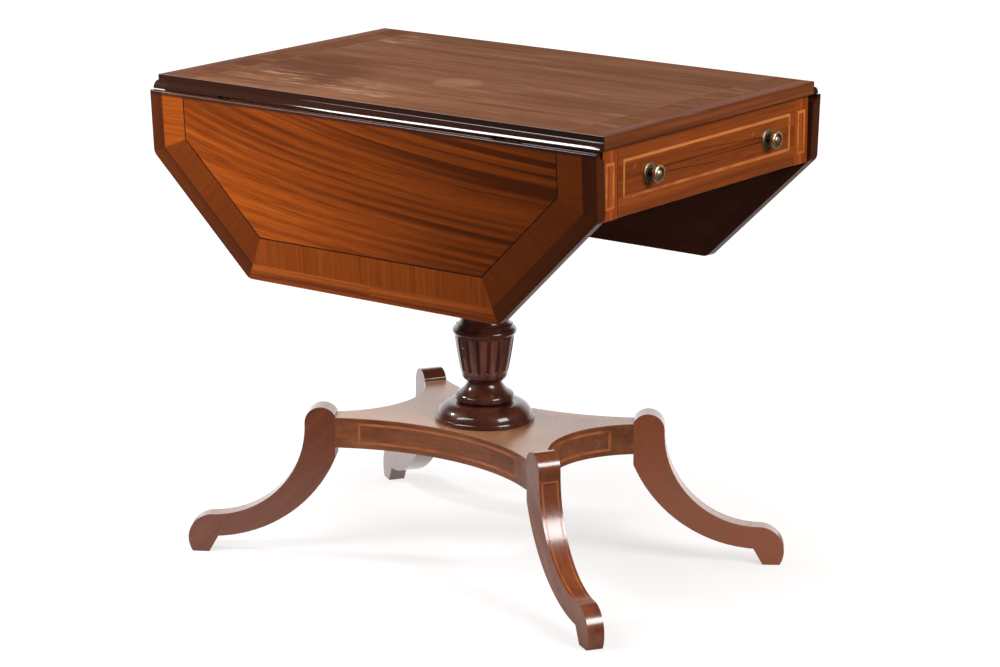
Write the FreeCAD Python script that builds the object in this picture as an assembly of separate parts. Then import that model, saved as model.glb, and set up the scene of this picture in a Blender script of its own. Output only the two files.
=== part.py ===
"""Drop-leaf pedestal table with rule-jointed canted leaves, a frieze drawer and sabre legs.

Frame: origin on the floor under the column, +Z up, +Y along the table, drawer at the -Y end,
leaves at -X and +X. Millimetres.
"""
import FreeCAD
import Part
import math
import os

from FreeCAD import Vector

# Top and leaves
TABLE_HEIGHT = 720.0
TOP_WIDTH = 518.0  # between the quirks of the two rule joints
TOP_LENGTH = 788.0
BOARD = 19.0  # thickness of top and leaves
QUIRK = 8.0  # upright fillet above the ovolo
JOINT_GAP = 0.5  # running clearance in the rule joint
JOINT_ROUND = 2.5  # rounding of the leaf's upper arris at the joint
ARRIS_ROUND = 1.0  # rounding of the outer arrises of top and leaves
LEAF_WIDTH = 259.0  # from hinge axis to outer edge
LEAF_END = 93.0  # straight part of a leaf's end
LEAF_CANT = 170.0  # length that each cant takes off the outer edge
LEAF_CORNER = 14.0  # rounding of a leaf's outer corners, in plan
EDGING = 23.0  # solid edging round the open top
CROSSBAND = 40.0
DARK_LINE = 1.8
VENEER = 1.0  # depth of every inlay

# Rule-joint hinges
HINGE_LENGTH = 50.0
HINGE_INSET = 150.0  # from the end of the top to a hinge's middle
HINGE_THICKNESS = 1.6
HINGE_PLATE = 28.0  # fixed plate, from the hinge axis
HINGE_FLAP = 44.0  # moving flap, from the hinge axis
KNUCKLE_RADIUS = 3.0
KNUCKLE_GAP = 0.4
HINGE_PIN_RADIUS = 1.5
KNUCKLE_SHARE = 0.4  # moving knuckle's share of the hinge's length

# Frieze
FRIEZE_DEPTH = 98.0
END_OVERHANG = 6.0  # top beyond the posts, at each end
SIDE_OVERHANG = 6.0  # rule joint beyond the side rails
LEAF_REST_GAP = 0.4  # hanging leaf to the side rail's lower edge
POST = 34.0
SIDE_RAIL = 16.0
FLY_RAIL = 20.0
FRONT_THICKNESS = 20.0  # drawer front and dummy front
PANEL_LINE = 4.0  # width of the light inlaid lines
FRONT_LINE_END = 13.0  # margins of the line on the drawer front
FRONT_LINE_TOP = 20.0
FRONT_LINE_BOTTOM = 24.0
POST_LINE_SIDE = 7.0  # margins of the line on a post
POST_LINE_TOP = 20.0
POST_LINE_BOTTOM = 15.0

# Fly brackets
FLY_LENGTH = 300.0  # from pivot to tip
FLY_CLEARANCE = 0.6
FLY_TIP_GAP = 2.0
FLY_PIN_RADIUS = 3.0
FLY_FINGERS = 5
FINGER_NOTCH_RADIUS = 16.0
FINGER_NOTCH_INSET = 40.0  # from the tip to the notch's middle

# Drawer
DRAWER_GAP = 1.0  # round the drawer front
DRAWER_SIDE_GAP = 0.8
RUN_GAP = 0.3  # drawer over its runners and before its stops
DRAWER_SIDE = 12.0
DRAWER_BACK = 10.0
DRAWER_BOTTOM = 5.0
BOTTOM_RISE = 7.0  # drawer bottom above the sides' lower edges
BOTTOM_GROOVE = 5.0
DRAWER_HEADROOM = 9.0  # drawer sides below the top board
DOVETAIL_LAP = 6.0  # wood left in front of the dovetails
DOVETAILS = 3
DOVETAIL_SPREAD = 2.5
DOVETAIL_SHARE = 0.25  # half of a tail's root, of the pitch
RUNNER_WIDTH = 18.0
RUNNER_HEIGHT = 10.0
RUNNER_LIFT = 4.0  # runner above the frieze's lower edge
STOP_THICKNESS = 8.0
STOP_WIDTH = 30.0
STOP_HEIGHT = 25.0

# Knobs
KNOB_SPACING = 292.0
KNOB_RADIUS = 12.8
KNOB_HEAD = 7.0
KNOB_NECK_RADIUS = 5.0
KNOB_NECK = 9.0
KNOB_ROSE_RADIUS = 14.5
KNOB_ROSE = 3.0
KNOB_RING_RADIUS = 8.2  # inside of the head's rim
KNOB_DISH = 1.6
KNOB_BOSS_RADIUS = 5.4
KNOB_BOSS = 2.0
KNOB_STEM_RADIUS = 3.0
KNOB_STEM_OUT = 5.0  # stem beyond the back of the front

# Column and its bearer
BEARER_WIDTH = 120.0
BEARER_HEIGHT = 36.0
TENON_RADIUS = 20.0
TENON_LENGTH = 36.0
BASE_RADIUS = 72.5
BASE_RIM = 7.0
BASE_HEIGHT = 27.0
BASE_TOP_RADIUS = 46.0
BASE_CROWN = 6.0
BASE_STEP = 2.0  # ledge between the rim and the swell
BASE_RIM_CROWN = 1.2
WAIST_RADIUS = 38.0
BULB_CROWN = 4.6
BULB_HEIGHT = 14.0
BULB_TOP_RADIUS = 40.0
NECK_RADIUS = 26.0
NECK_HEIGHT = 4.0
COVE_HEIGHT = 14.0
COVE_CROWN = 1.8
VASE_FOOT_HEIGHT = 11.0
VASE_FOOT_RADIUS = 34.0
VASE_FOOT_CROWN = 2.2
VASE_RADIUS = 44.0
VASE_HEIGHT = 59.5
VASE_CROWN = 0.8
RING_CROWN = 3.2
RING_HEIGHT = 9.5
FILLET_RADIUS = 42.0
FILLET_HEIGHT = 5.0
SHAFT_RADIUS = 35.0
SHAFT_COVE_HEIGHT = 9.0
SHAFT_TOP_RADIUS = 29.0
BEAD_RADIUS = 33.0
BEAD_HEIGHT = 10.0
COLLAR_RADIUS = 46.0
COLLAR_HEIGHT = 12.0
COLLAR_COVE_HEIGHT = 20.0
FLUTES = 16
FLUTE_RADIUS = 4.0
FLUTE_DEPTH = 2.6
FLUTE_START_SHARE = 0.12
FLUTE_END_SHARE = 0.89
COLUMN_BOLT_RADIUS = 5.0
COLUMN_BOLT_LENGTH = 90.0
COLUMN_BOLT_HEAD = 7.0
COLUMN_BOLT_HEAD_RADIUS = 9.5
COLUMN_BOLT_SIDES = 6
WASHER_RADIUS = 16.0
WASHER_THICKNESS = 2.0

# Platform
PLATFORM_TOP = 213.0
PLATFORM_THICKNESS = 46.0
ARM_RADIUS = 220.0
LEG_ANGLE = 57.4  # degrees from the X axis
WAIST_X = 84.0  # middle of the concave long sides
WAIST_Y = 149.0  # middle of the concave short sides
PLATFORM_LINE_END = 34.0
PLATFORM_LINE_EDGE = 7.0

# Sabre legs
LEG_REACH = 443.0  # column axis to the toe
LEG_HEIGHT = 228.0  # floor to crest
LEG_WIDTH = 35.0
TOE_WIDTH = 24.0
LEG_LINE_WIDTH = 2.4
LEG_LINE_SIDE = 3.6
LEG_LINE_END = 12.0
DOWEL_RADIUS = 5.0
DOWEL_LENGTH = 50.0
DOWEL_MARGIN = 12.0
# Shares of the leg's run beyond the platform and of its height
CREST_BACK_SHARES = (0.0, 0.946)
SHOULDER_SHARES = (0.204, 0.890)
SWEEP_SHARES = (0.366, 0.460)
INSTEP_SHARES = (0.834, 0.254)
TOE_SHARES = (0.973, 0.0)
SOLE_SHARES = (0.861, 0.0)
HEEL_SHARES = (0.798, 0.107)
CALF_SHARES = (0.316, 0.276)
KNEE_SHARES = (0.0, 0.664)

FIT = 0.05  # radial clearance of pins, dowels, stems and tenons
OVERRUN = 5.0  # cutters beyond the faces that they cut

# Derived places
BOARD_BOTTOM = TABLE_HEIGHT - BOARD
OVOLO = BOARD - QUIRK
COVE = OVOLO + JOINT_GAP
HALF_WIDTH = TOP_WIDTH / 2
HALF_LENGTH = TOP_LENGTH / 2
FRIEZE_BOTTOM = BOARD_BOTTOM - FRIEZE_DEPTH
SIDE_FACE = HALF_WIDTH - SIDE_OVERHANG
END_FACE = HALF_LENGTH - END_OVERHANG
POST_INNER_X = SIDE_FACE - POST
POST_INNER_Y = END_FACE - POST
RAIL_OUTER = SIDE_FACE - FLY_RAIL
RAIL_INNER = RAIL_OUTER - SIDE_RAIL
HANG_TILT = math.degrees(math.atan((SIDE_OVERHANG - LEAF_REST_GAP) / FRIEZE_DEPTH))
PLATFORM_BOTTOM = PLATFORM_TOP - PLATFORM_THICKNESS
UP = Vector(0, 0, 1)
ALONG = Vector(0, 1, 0)
ACROSS = Vector(1, 0, 0)
ORIGIN = Vector(0, 0, 0)


def box(x0, x1, y0, y1, z0, z1):
    """Return a box between three pairs of faces."""
    return Part.makeBox(x1 - x0, y1 - y0, z1 - z0, Vector(x0, y0, z0))


def prism(points, z0, z1):
    """Return an upright prism on a plan outline."""
    corners = [Vector(x, y, z0) for x, y in points]
    wire = Part.makePolygon(corners + corners[:1])
    return Part.Face(wire).extrude(Vector(0, 0, z1 - z0))


def arc_edge(start, middle, end):
    """Return the arc through three points."""
    return Part.Arc(start, middle, end).toShape()


def crown_edge(start, end, crown):
    """Return the edge from start to end in the XZ plane, raised by crown to its right."""
    if crown == 0:
        return Part.makeLine(start, end)
    run = (end - start).normalize()
    middle = (start + end) / 2 + Vector(run.z, 0, -run.x) * crown
    return arc_edge(start, middle, end)


def cap_crown(radius, rise):
    """Return the crown of an edge that domes up by rise from radius and ends level on the axis."""
    chord = math.hypot(radius, rise)
    sphere = chord ** 2 / (rise * 2)
    return sphere - math.sqrt(sphere ** 2 - (chord / 2) ** 2)


def tangent_edge(start, direction, end):
    """Return the arc that leaves start along direction and reaches end, in the XZ plane."""
    chord = end - start
    normal = Vector(-direction.z, 0, direction.x).normalize()
    radius = chord.dot(chord) / (normal.dot(chord) * 2)
    centre = start + normal * radius
    spoke = (start + end) / 2 - centre
    reach = -abs(radius) if spoke.dot(direction) < 0 and chord.dot(direction) < 0 else abs(radius)
    return arc_edge(start, centre + spoke.normalize() * reach, end)


def turned(stations):
    """Return a turning about Z from (radius, height, crown of the edge that leads there)."""
    first = Vector(stations[0][0], 0, stations[0][1])
    edges = []
    here = first
    for radius, height, crown in stations[1:]:
        there = Vector(radius, 0, height)
        edges.append(crown_edge(here, there, crown))
        here = there
    edges.append(Part.makeLine(here, first))
    return Part.Face(Part.Wire(edges)).revolve(ORIGIN, UP, 360)


def rod(radius, start, end):
    """Return a round bar between two points."""
    return Part.makeCylinder(radius, (end - start).Length, start, end - start)


def mirrored(shape):
    """Return the copy on the other side of the table."""
    return shape.mirror(ORIGIN, ACROSS)


def turned_copy(shape, angle):
    """Return a copy turned about the column."""
    copy = shape.copy()
    copy.rotate(ORIGIN, UP, angle)
    return copy


def rounding_cutter(start, end, radius, inward, down):
    """Return what rounds off the arris from start to end, between faces that run inward and down."""
    beyond = (end - start).normalize() * OVERRUN
    first = start - beyond
    run = end + beyond - first
    corner = first - (inward + down) * OVERRUN
    wide = radius + OVERRUN
    outline = [corner, corner + inward * wide, corner + (inward + down) * wide, corner + down * wide, corner]
    block = Part.Face(Part.makePolygon(outline)).extrude(run)
    centre = first + (inward + down) * radius
    return block.cut(rod(radius, centre, centre + run))


def rectangle_line(x0, x1, z0, z1, face, inward):
    """Return a rectangular inlaid line in an end face, its depth going inward along Y."""
    y0, y1 = sorted((face, face + inward * VENEER))
    outer = box(x0, x1, y0, y1, z0, z1)
    return outer.cut(box(x0 + PANEL_LINE, x1 - PANEL_LINE, y0 - OVERRUN, y1 + OVERRUN,
                         z0 + PANEL_LINE, z1 - PANEL_LINE))


def hinge_parts():
    """Return plate, flap, pin and the pockets in top and leaf, about the axis, leaf raised."""
    half = HINGE_LENGTH / 2
    middle = HINGE_LENGTH * KNUCKLE_SHARE / 2
    clear = KNUCKLE_RADIUS + KNUCKLE_GAP
    bore = rod(HINGE_PIN_RADIUS + FIT, Vector(0, -half - OVERRUN, 0), Vector(0, half + OVERRUN, 0))
    plate = box(-HINGE_PLATE, -clear, -half, half, 0, HINGE_THICKNESS)
    for low, high in ((-half, -middle - KNUCKLE_GAP), (middle + KNUCKLE_GAP, half)):
        plate = plate.fuse(box(-clear, 0, low, high, 0, HINGE_THICKNESS))
        plate = plate.fuse(rod(KNUCKLE_RADIUS, Vector(0, low, 0), Vector(0, high, 0)))
    flap = box(clear, HINGE_FLAP, -half, half, 0, HINGE_THICKNESS)
    flap = flap.fuse(box(0, clear, -middle, middle, 0, HINGE_THICKNESS))
    flap = flap.fuse(rod(KNUCKLE_RADIUS, Vector(0, -middle, 0), Vector(0, middle, 0)))
    pin = rod(HINGE_PIN_RADIUS, Vector(0, -half, 0), Vector(0, half, 0))
    swept = half + JOINT_GAP
    top_pocket = box(-HINGE_PLATE, 0, -half, half, 0, HINGE_THICKNESS)
    top_pocket = top_pocket.fuse(box(0, OVOLO + OVERRUN, -swept, swept, 0, HINGE_THICKNESS + JOINT_GAP))
    top_pocket = top_pocket.fuse(rod(KNUCKLE_RADIUS + JOINT_GAP, Vector(0, -swept, 0), Vector(0, swept, 0)))
    leaf_pocket = box(0, HINGE_FLAP, -half, half, 0, HINGE_THICKNESS)
    return (plate.removeSplitter().cut(bore), flap.removeSplitter().cut(bore), pin, top_pocket, leaf_pocket)


def at_hinges(shape):
    """Return copies of a hinge piece at both hinge places along the joint, as one shape."""
    copies = []
    for place in (HINGE_INSET - HALF_LENGTH, HALF_LENGTH - HINGE_INSET):
        copy = shape.copy()
        copy.translate(Vector(0, place, 0))
        copies.append(copy)
    return Part.makeCompound(copies)


def on_axis(shape):
    """Return a copy carried from the hinge axis' own frame to the right-hand joint."""
    copy = shape.copy()
    copy.translate(Vector(HALF_WIDTH, 0, BOARD_BOTTOM))
    return copy


def hung(shape):
    """Return a leaf piece let down from level to where the leaf leans on the side rail."""
    copy = shape.copy()
    copy.rotate(ORIGIN, ALONG, 90 + HANG_TILT)
    return on_axis(copy)


def build_top(pieces, top_pocket):
    """Add the fixed top: board, end edgings, crossbands and dark lines."""
    right = Vector(HALF_WIDTH, 0, TABLE_HEIGHT)
    left = Vector(-HALF_WIDTH, 0, TABLE_HEIGHT)
    drop = Vector(0, 0, -QUIRK)
    sink = Vector(0, 0, -BOARD)
    slope = OVOLO * math.sqrt(0.5)
    right_foot = right + sink + ACROSS * OVOLO
    left_foot = left + sink - ACROSS * OVOLO
    edges = [Part.makeLine(left, right), Part.makeLine(right, right + drop)]
    edges.append(arc_edge(right + drop, right + sink + Vector(slope, 0, slope), right_foot))
    edges.append(Part.makeLine(right_foot, left_foot))
    edges.append(arc_edge(left_foot, left + sink + Vector(-slope, 0, slope), left + drop))
    edges.append(Part.makeLine(left + drop, left))
    board = Part.Face(Part.Wire(edges)).extrude(ALONG * TOP_LENGTH)
    board.translate(ALONG * -HALF_LENGTH)
    pockets = on_axis(at_hinges(top_pocket))
    board = board.cut(pockets).cut(mirrored(pockets))
    reach = HALF_WIDTH + BOARD
    edging = HALF_LENGTH - EDGING
    band = edging - CROSSBAND
    line = band - DARK_LINE
    skin = TABLE_HEIGHT - VENEER
    ends = {"edging": [], "crossband": [], "line": []}
    for side in (-1, 1):
        low, high = sorted((side * edging, side * HALF_LENGTH))
        strip = board.common(box(-reach, reach, low, high, 0, TABLE_HEIGHT))
        arris = Vector(-reach, side * HALF_LENGTH, TABLE_HEIGHT)
        rounding = rounding_cutter(arris, arris + ACROSS * reach * 2, ARRIS_ROUND, ALONG * -side, -UP)
        ends["edging"].append(strip.cut(rounding))
    for low, high in ((-edging, -band), (band, edging)):
        ends["crossband"].append(box(-HALF_WIDTH, HALF_WIDTH, low, high, skin, TABLE_HEIGHT))
    for low, high in ((-band, -line), (line, band)):
        ends["line"].append(box(-HALF_WIDTH, HALF_WIDTH, low, high, skin, TABLE_HEIGHT))
    panel = board.common(box(-reach, reach, -edging, edging, 0, TABLE_HEIGHT))
    pieces["top_panel"] = panel.cut(ends["crossband"] + ends["line"])
    pieces["top_edging"] = Part.makeCompound(ends["edging"])
    pieces["top_crossband"] = Part.makeCompound(ends["crossband"])
    pieces["top_stringing"] = Part.makeCompound(ends["line"])


def leaf_outline(inset):
    """Return the leaf's outer corners, end to end, moved in by inset; hinge axis at x = 0."""
    fall = LEAF_WIDTH - LEAF_END
    turn = math.atan2(LEAF_CANT, fall)
    end_shift = inset * math.tan(turn / 2)
    edge_shift = inset * math.tan((math.pi / 2 - turn) / 2)
    half_edge = HALF_LENGTH - LEAF_CANT - edge_shift
    half_end = HALF_LENGTH - inset
    return [(JOINT_GAP, -half_end), (LEAF_END - end_shift, -half_end), (LEAF_WIDTH - inset, -half_edge),
            (LEAF_WIDTH - inset, half_edge), (LEAF_END - end_shift, half_end), (JOINT_GAP, half_end)]


def mitred_strips(outer, inner, z0, z1):
    """Return the strips between two leaf outlines, mitred at every corner."""
    corner_pairs = list(zip(outer, inner))
    return [prism([a, b, d, c], z0, z1) for (a, c), (b, d) in zip(corner_pairs, corner_pairs[1:])]


def leaf_blank():
    """Return a leaf's outline as a block, with rounded corners and outer arrises."""
    blank = prism(leaf_outline(0), 0, BOARD)
    corners = [edge for edge in blank.Edges
               if edge.BoundBox.ZLength > BOARD / 2 and edge.BoundBox.XMin > LEAF_END / 2]
    blank = blank.makeFillet(LEAF_CORNER, corners)
    rims = [edge for edge in blank.Edges
            if edge.BoundBox.ZLength < BOARD / 2 and edge.BoundBox.XMax > LEAF_END / 2]
    return blank.makeFillet(ARRIS_ROUND, rims)


def build_leaves(pieces, flap, leaf_pocket):
    """Add both leaves with their edgings, crossbands, dark lines and hinge flaps."""
    lip = math.sqrt(COVE ** 2 - JOINT_GAP ** 2)
    slope = COVE * math.sqrt(0.5)
    corners = [Vector(JOINT_GAP, 0, lip), Vector(JOINT_GAP, 0, BOARD), Vector(LEAF_WIDTH, 0, BOARD),
               Vector(LEAF_WIDTH, 0, 0), Vector(COVE, 0, 0)]
    edges = [Part.makeLine(a, b) for a, b in zip(corners, corners[1:])]
    edges.append(arc_edge(corners[-1], Vector(slope, 0, slope), corners[0]))
    board = Part.Face(Part.Wire(edges)).extrude(ALONG * TOP_LENGTH)
    board.translate(ALONG * -HALF_LENGTH)
    board = board.cut(at_hinges(leaf_pocket))
    arris = Vector(JOINT_GAP, -HALF_LENGTH, BOARD)
    board = board.cut(rounding_cutter(arris, arris + ALONG * TOP_LENGTH, JOINT_ROUND, ACROSS, -UP))
    rings = [leaf_outline(inset) for inset in
             (0, EDGING, EDGING + CROSSBAND, EDGING + CROSSBAND + DARK_LINE)]
    skin = BOARD - VENEER
    rounded = board.common(leaf_blank())
    edging = [rounded.common(strip) for strip in mitred_strips(rings[0], rings[1], 0, BOARD)]
    crossband = [board.common(strip) for strip in mitred_strips(rings[1], rings[2], skin, BOARD)]
    line = [board.common(strip) for strip in mitred_strips(rings[2], rings[3], skin, BOARD)]
    core = board.common(prism(rings[1], 0, BOARD)).cut(crossband + line)
    leaf = {"": core, "_edging": Part.makeCompound(edging), "_crossband": Part.makeCompound(crossband),
            "_stringing": Part.makeCompound(line)}
    for suffix, shape in leaf.items():
        pieces["leaf_right" + suffix] = hung(shape)
        pieces["leaf_left" + suffix] = mirrored(hung(shape))
    pieces["hinge_flap_right"] = hung(at_hinges(flap))
    pieces["hinge_flap_left"] = mirrored(pieces["hinge_flap_right"])


def build_frieze(pieces):
    """Add posts, rails, dummy front, and the light lines let into the end faces."""
    post = box(POST_INNER_X, SIDE_FACE, -END_FACE, -POST_INNER_Y, FRIEZE_BOTTOM, BOARD_BOTTOM)
    post_line = rectangle_line(POST_INNER_X + POST_LINE_SIDE, SIDE_FACE - POST_LINE_SIDE,
                               FRIEZE_BOTTOM + POST_LINE_BOTTOM, BOARD_BOTTOM - POST_LINE_TOP, -END_FACE, 1)
    post = post.cut(post_line)
    pieces["post_front_right"] = post
    pieces["post_front_left"] = mirrored(post)
    pieces["post_back_left"] = turned_copy(post, 180)
    pieces["post_back_right"] = mirrored(pieces["post_back_left"])
    lines = [post_line, mirrored(post_line), turned_copy(post_line, 180)]
    lines.append(mirrored(lines[-1]))
    pieces["post_stringing"] = Part.makeCompound(lines)

    rail = box(RAIL_INNER, RAIL_OUTER, -POST_INNER_Y, POST_INNER_Y, FRIEZE_BOTTOM, BOARD_BOTTOM)
    pieces["side_rail_right"] = rail
    pieces["side_rail_left"] = mirrored(rail)

    dummy = box(-POST_INNER_X, POST_INNER_X, END_FACE - FRONT_THICKNESS, END_FACE,
                FRIEZE_BOTTOM, BOARD_BOTTOM)
    line = turned_copy(front_line(), 180)
    pieces["dummy_front"] = dummy.cut([line] + [turned_copy(hole, 180) for hole in stem_holes()])
    pieces["dummy_stringing"] = line


def front_line():
    """Return the inlaid line of the drawer front."""
    reach = POST_INNER_X - FRONT_LINE_END
    return rectangle_line(-reach, reach, FRIEZE_BOTTOM + FRONT_LINE_BOTTOM, BOARD_BOTTOM - FRONT_LINE_TOP,
                          -END_FACE, 1)


def knob_height():
    """Return the height of the knobs, in the middle of the inlaid panel."""
    return (FRIEZE_BOTTOM + FRONT_LINE_BOTTOM + BOARD_BOTTOM - FRONT_LINE_TOP) / 2


def stem_holes():
    """Return cutters for the knob stems in the drawer front."""
    return [rod(KNOB_STEM_RADIUS + FIT, Vector(x, -END_FACE - OVERRUN, knob_height()),
                Vector(x, -END_FACE + FRONT_THICKNESS + OVERRUN, knob_height()))
            for x in (-KNOB_SPACING / 2, KNOB_SPACING / 2)]


def build_knobs(pieces):
    """Add the turned knobs of the drawer and of the dummy front."""
    stem_end = -FRONT_THICKNESS - KNOB_STEM_OUT
    rise = KNOB_ROSE + KNOB_NECK
    face = rise + KNOB_HEAD
    rim = KNOB_HEAD / 2
    dish = face - KNOB_DISH
    stations = [(0, stem_end), (KNOB_STEM_RADIUS, stem_end, 0), (KNOB_STEM_RADIUS, 0, 0),
                (KNOB_ROSE_RADIUS, 0, 0), (KNOB_ROSE_RADIUS - KNOB_ROSE, KNOB_ROSE, KNOB_DISH / 2),
                (KNOB_NECK_RADIUS, KNOB_ROSE, 0), (KNOB_RADIUS - rim, rise, -KNOB_DISH),
                (KNOB_RADIUS - rim, face, rim), (KNOB_RING_RADIUS, face, 0), (KNOB_RING_RADIUS, dish, 0),
                (KNOB_BOSS_RADIUS, dish, 0), (0, dish + KNOB_BOSS, cap_crown(KNOB_BOSS_RADIUS, KNOB_BOSS))]
    knob = turned(stations)
    knob.rotate(ORIGIN, ACROSS, 90)
    knob.translate(Vector(KNOB_SPACING / 2, -END_FACE, knob_height()))
    pieces["drawer_knob_right"] = knob
    pieces["drawer_knob_left"] = mirrored(knob)
    pieces["dummy_knob_left"] = turned_copy(knob, 180)
    pieces["dummy_knob_right"] = mirrored(pieces["dummy_knob_left"])


def build_fly(pieces):
    """Add the fly brackets, folded flush between the fixed outer rails, with knuckles and pins."""
    radius = FLY_RAIL / 2
    axis_x = SIDE_FACE - radius
    pivot = -FLY_LENGTH / 2
    tip = FLY_LENGTH / 2
    finger = FRIEZE_DEPTH / FLY_FINGERS
    low, high = FRIEZE_BOTTOM, BOARD_BOTTOM
    front = box(RAIL_OUTER, SIDE_FACE, -POST_INNER_Y, pivot, low, high)
    back = prism([(RAIL_OUTER, tip - FLY_RAIL + FLY_TIP_GAP), (SIDE_FACE, tip + FLY_TIP_GAP),
                  (SIDE_FACE, POST_INNER_Y), (RAIL_OUTER, POST_INNER_Y)], low, high)
    fly = prism([(RAIL_OUTER + FLY_CLEARANCE, pivot), (SIDE_FACE, pivot), (SIDE_FACE, tip),
                 (RAIL_OUTER + FLY_CLEARANCE, tip - FLY_RAIL + FLY_CLEARANCE)],
                low + FLY_CLEARANCE, high - FLY_CLEARANCE)
    for index in range(FLY_FINGERS):
        base = low + index * finger
        holder, other = (front, fly) if index % 2 == 0 else (fly, front)
        knuckle = Part.makeCylinder(radius - FLY_CLEARANCE, finger - FLY_CLEARANCE,
                                    Vector(axis_x, pivot, base + FLY_CLEARANCE / 2))
        socket = Part.makeCylinder(radius, finger + FLY_CLEARANCE,
                                   Vector(axis_x, pivot, base - FLY_CLEARANCE / 2))
        wall = box(RAIL_OUTER - OVERRUN, SIDE_FACE + OVERRUN, pivot - radius, pivot + radius,
                   base, base + finger)
        other = other.cut(socket)
        holder = holder.fuse(knuckle.common(wall))
        front, fly = (holder, other) if index % 2 == 0 else (other, holder)
    pin_low = Vector(axis_x, pivot, low)
    pin_high = Vector(axis_x, pivot, high)
    bore = rod(FLY_PIN_RADIUS + FIT, pin_low - UP * OVERRUN, pin_high + UP * OVERRUN)
    notch = Part.makeCylinder(FINGER_NOTCH_RADIUS, FLY_RAIL + OVERRUN * 2,
                              Vector(RAIL_OUTER - OVERRUN, tip - FINGER_NOTCH_INSET, low), ACROSS)
    pin = rod(FLY_PIN_RADIUS, pin_low, pin_high)
    sides = {"fly_rail_front": front.removeSplitter().cut(bore), "fly_rail_back": back,
             "fly_bracket": fly.removeSplitter().cut([bore, notch])}
    for name, shape in sides.items():
        pieces[name + "_right"] = shape
        pieces[name + "_left"] = mirrored(shape)
    pieces["fly_pins"] = Part.makeCompound([pin, mirrored(pin)])


def dovetails(x0, x1, root, tip, z0, z1):
    """Return the tails that stand out of a drawer side from root to tip along Y."""
    pitch = (z1 - z0) / DOVETAILS
    tails = []
    for index in range(DOVETAILS):
        middle = z0 + (index + 0.5) * pitch
        narrow = pitch * DOVETAIL_SHARE
        wide = narrow + DOVETAIL_SPREAD
        corners = [Vector(x0, root, middle - narrow), Vector(x0, tip, middle - wide),
                   Vector(x0, tip, middle + wide), Vector(x0, root, middle + narrow)]
        tails.append(Part.Face(Part.makePolygon(corners + corners[:1])).extrude(ACROSS * (x1 - x0)))
    return tails


def build_drawer(pieces):
    """Add the drawer box, its runners and its stops."""
    inner_face = FRONT_THICKNESS - END_FACE
    stop_face = -BEARER_WIDTH / 2 - STOP_THICKNESS
    back_face = stop_face - RUN_GAP
    runner_top = FRIEZE_BOTTOM + RUNNER_LIFT + RUNNER_HEIGHT
    low = runner_top + RUN_GAP
    high = BOARD_BOTTOM - DRAWER_HEADROOM
    outer = RAIL_INNER - DRAWER_SIDE_GAP
    inner = outer - DRAWER_SIDE
    bottom_low = low + BOTTOM_RISE
    bottom_high = bottom_low + DRAWER_BOTTOM
    back_start = back_face - DRAWER_BACK

    bottom = box(-inner - BOTTOM_GROOVE, inner + BOTTOM_GROOVE, inner_face - BOTTOM_GROOVE, back_face,
                 bottom_low, bottom_high)
    side = box(inner, outer, inner_face, back_start, low, high)
    front_tails = dovetails(inner, outer, inner_face, DOVETAIL_LAP - END_FACE, bottom_high, high)
    back_tails = dovetails(inner, outer, back_start, back_face, bottom_high, high)
    side = side.fuse(front_tails + back_tails)
    side = side.fuse(box(inner, outer, back_start, back_face, low, bottom_high)).removeSplitter().cut(bottom)
    front = box(-POST_INNER_X + DRAWER_GAP, POST_INNER_X - DRAWER_GAP, -END_FACE, inner_face,
                FRIEZE_BOTTOM + DRAWER_GAP, BOARD_BOTTOM - DRAWER_GAP)
    line = front_line()
    front = front.cut(front_tails + [mirrored(tail) for tail in front_tails] + stem_holes() + [line, bottom])
    back = box(-outer, outer, back_start, back_face, bottom_high, high)
    back = back.cut(back_tails + [mirrored(tail) for tail in back_tails])
    pieces["drawer_front"] = front
    pieces["drawer_stringing"] = line
    pieces["drawer_side_right"] = side
    pieces["drawer_side_left"] = mirrored(side)
    pieces["drawer_back"] = back
    pieces["drawer_bottom"] = bottom

    runner = box(RAIL_INNER - RUNNER_WIDTH, RAIL_INNER, -POST_INNER_Y, -BEARER_WIDTH / 2,
                 FRIEZE_BOTTOM + RUNNER_LIFT, runner_top)
    pieces["drawer_runner_right"] = runner
    pieces["drawer_runner_left"] = mirrored(runner)
    stop = box(RAIL_INNER - STOP_WIDTH, RAIL_INNER, stop_face, -BEARER_WIDTH / 2,
               runner_top, runner_top + STOP_HEIGHT)
    pieces["drawer_stops"] = Part.makeCompound([stop, mirrored(stop)])


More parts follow.
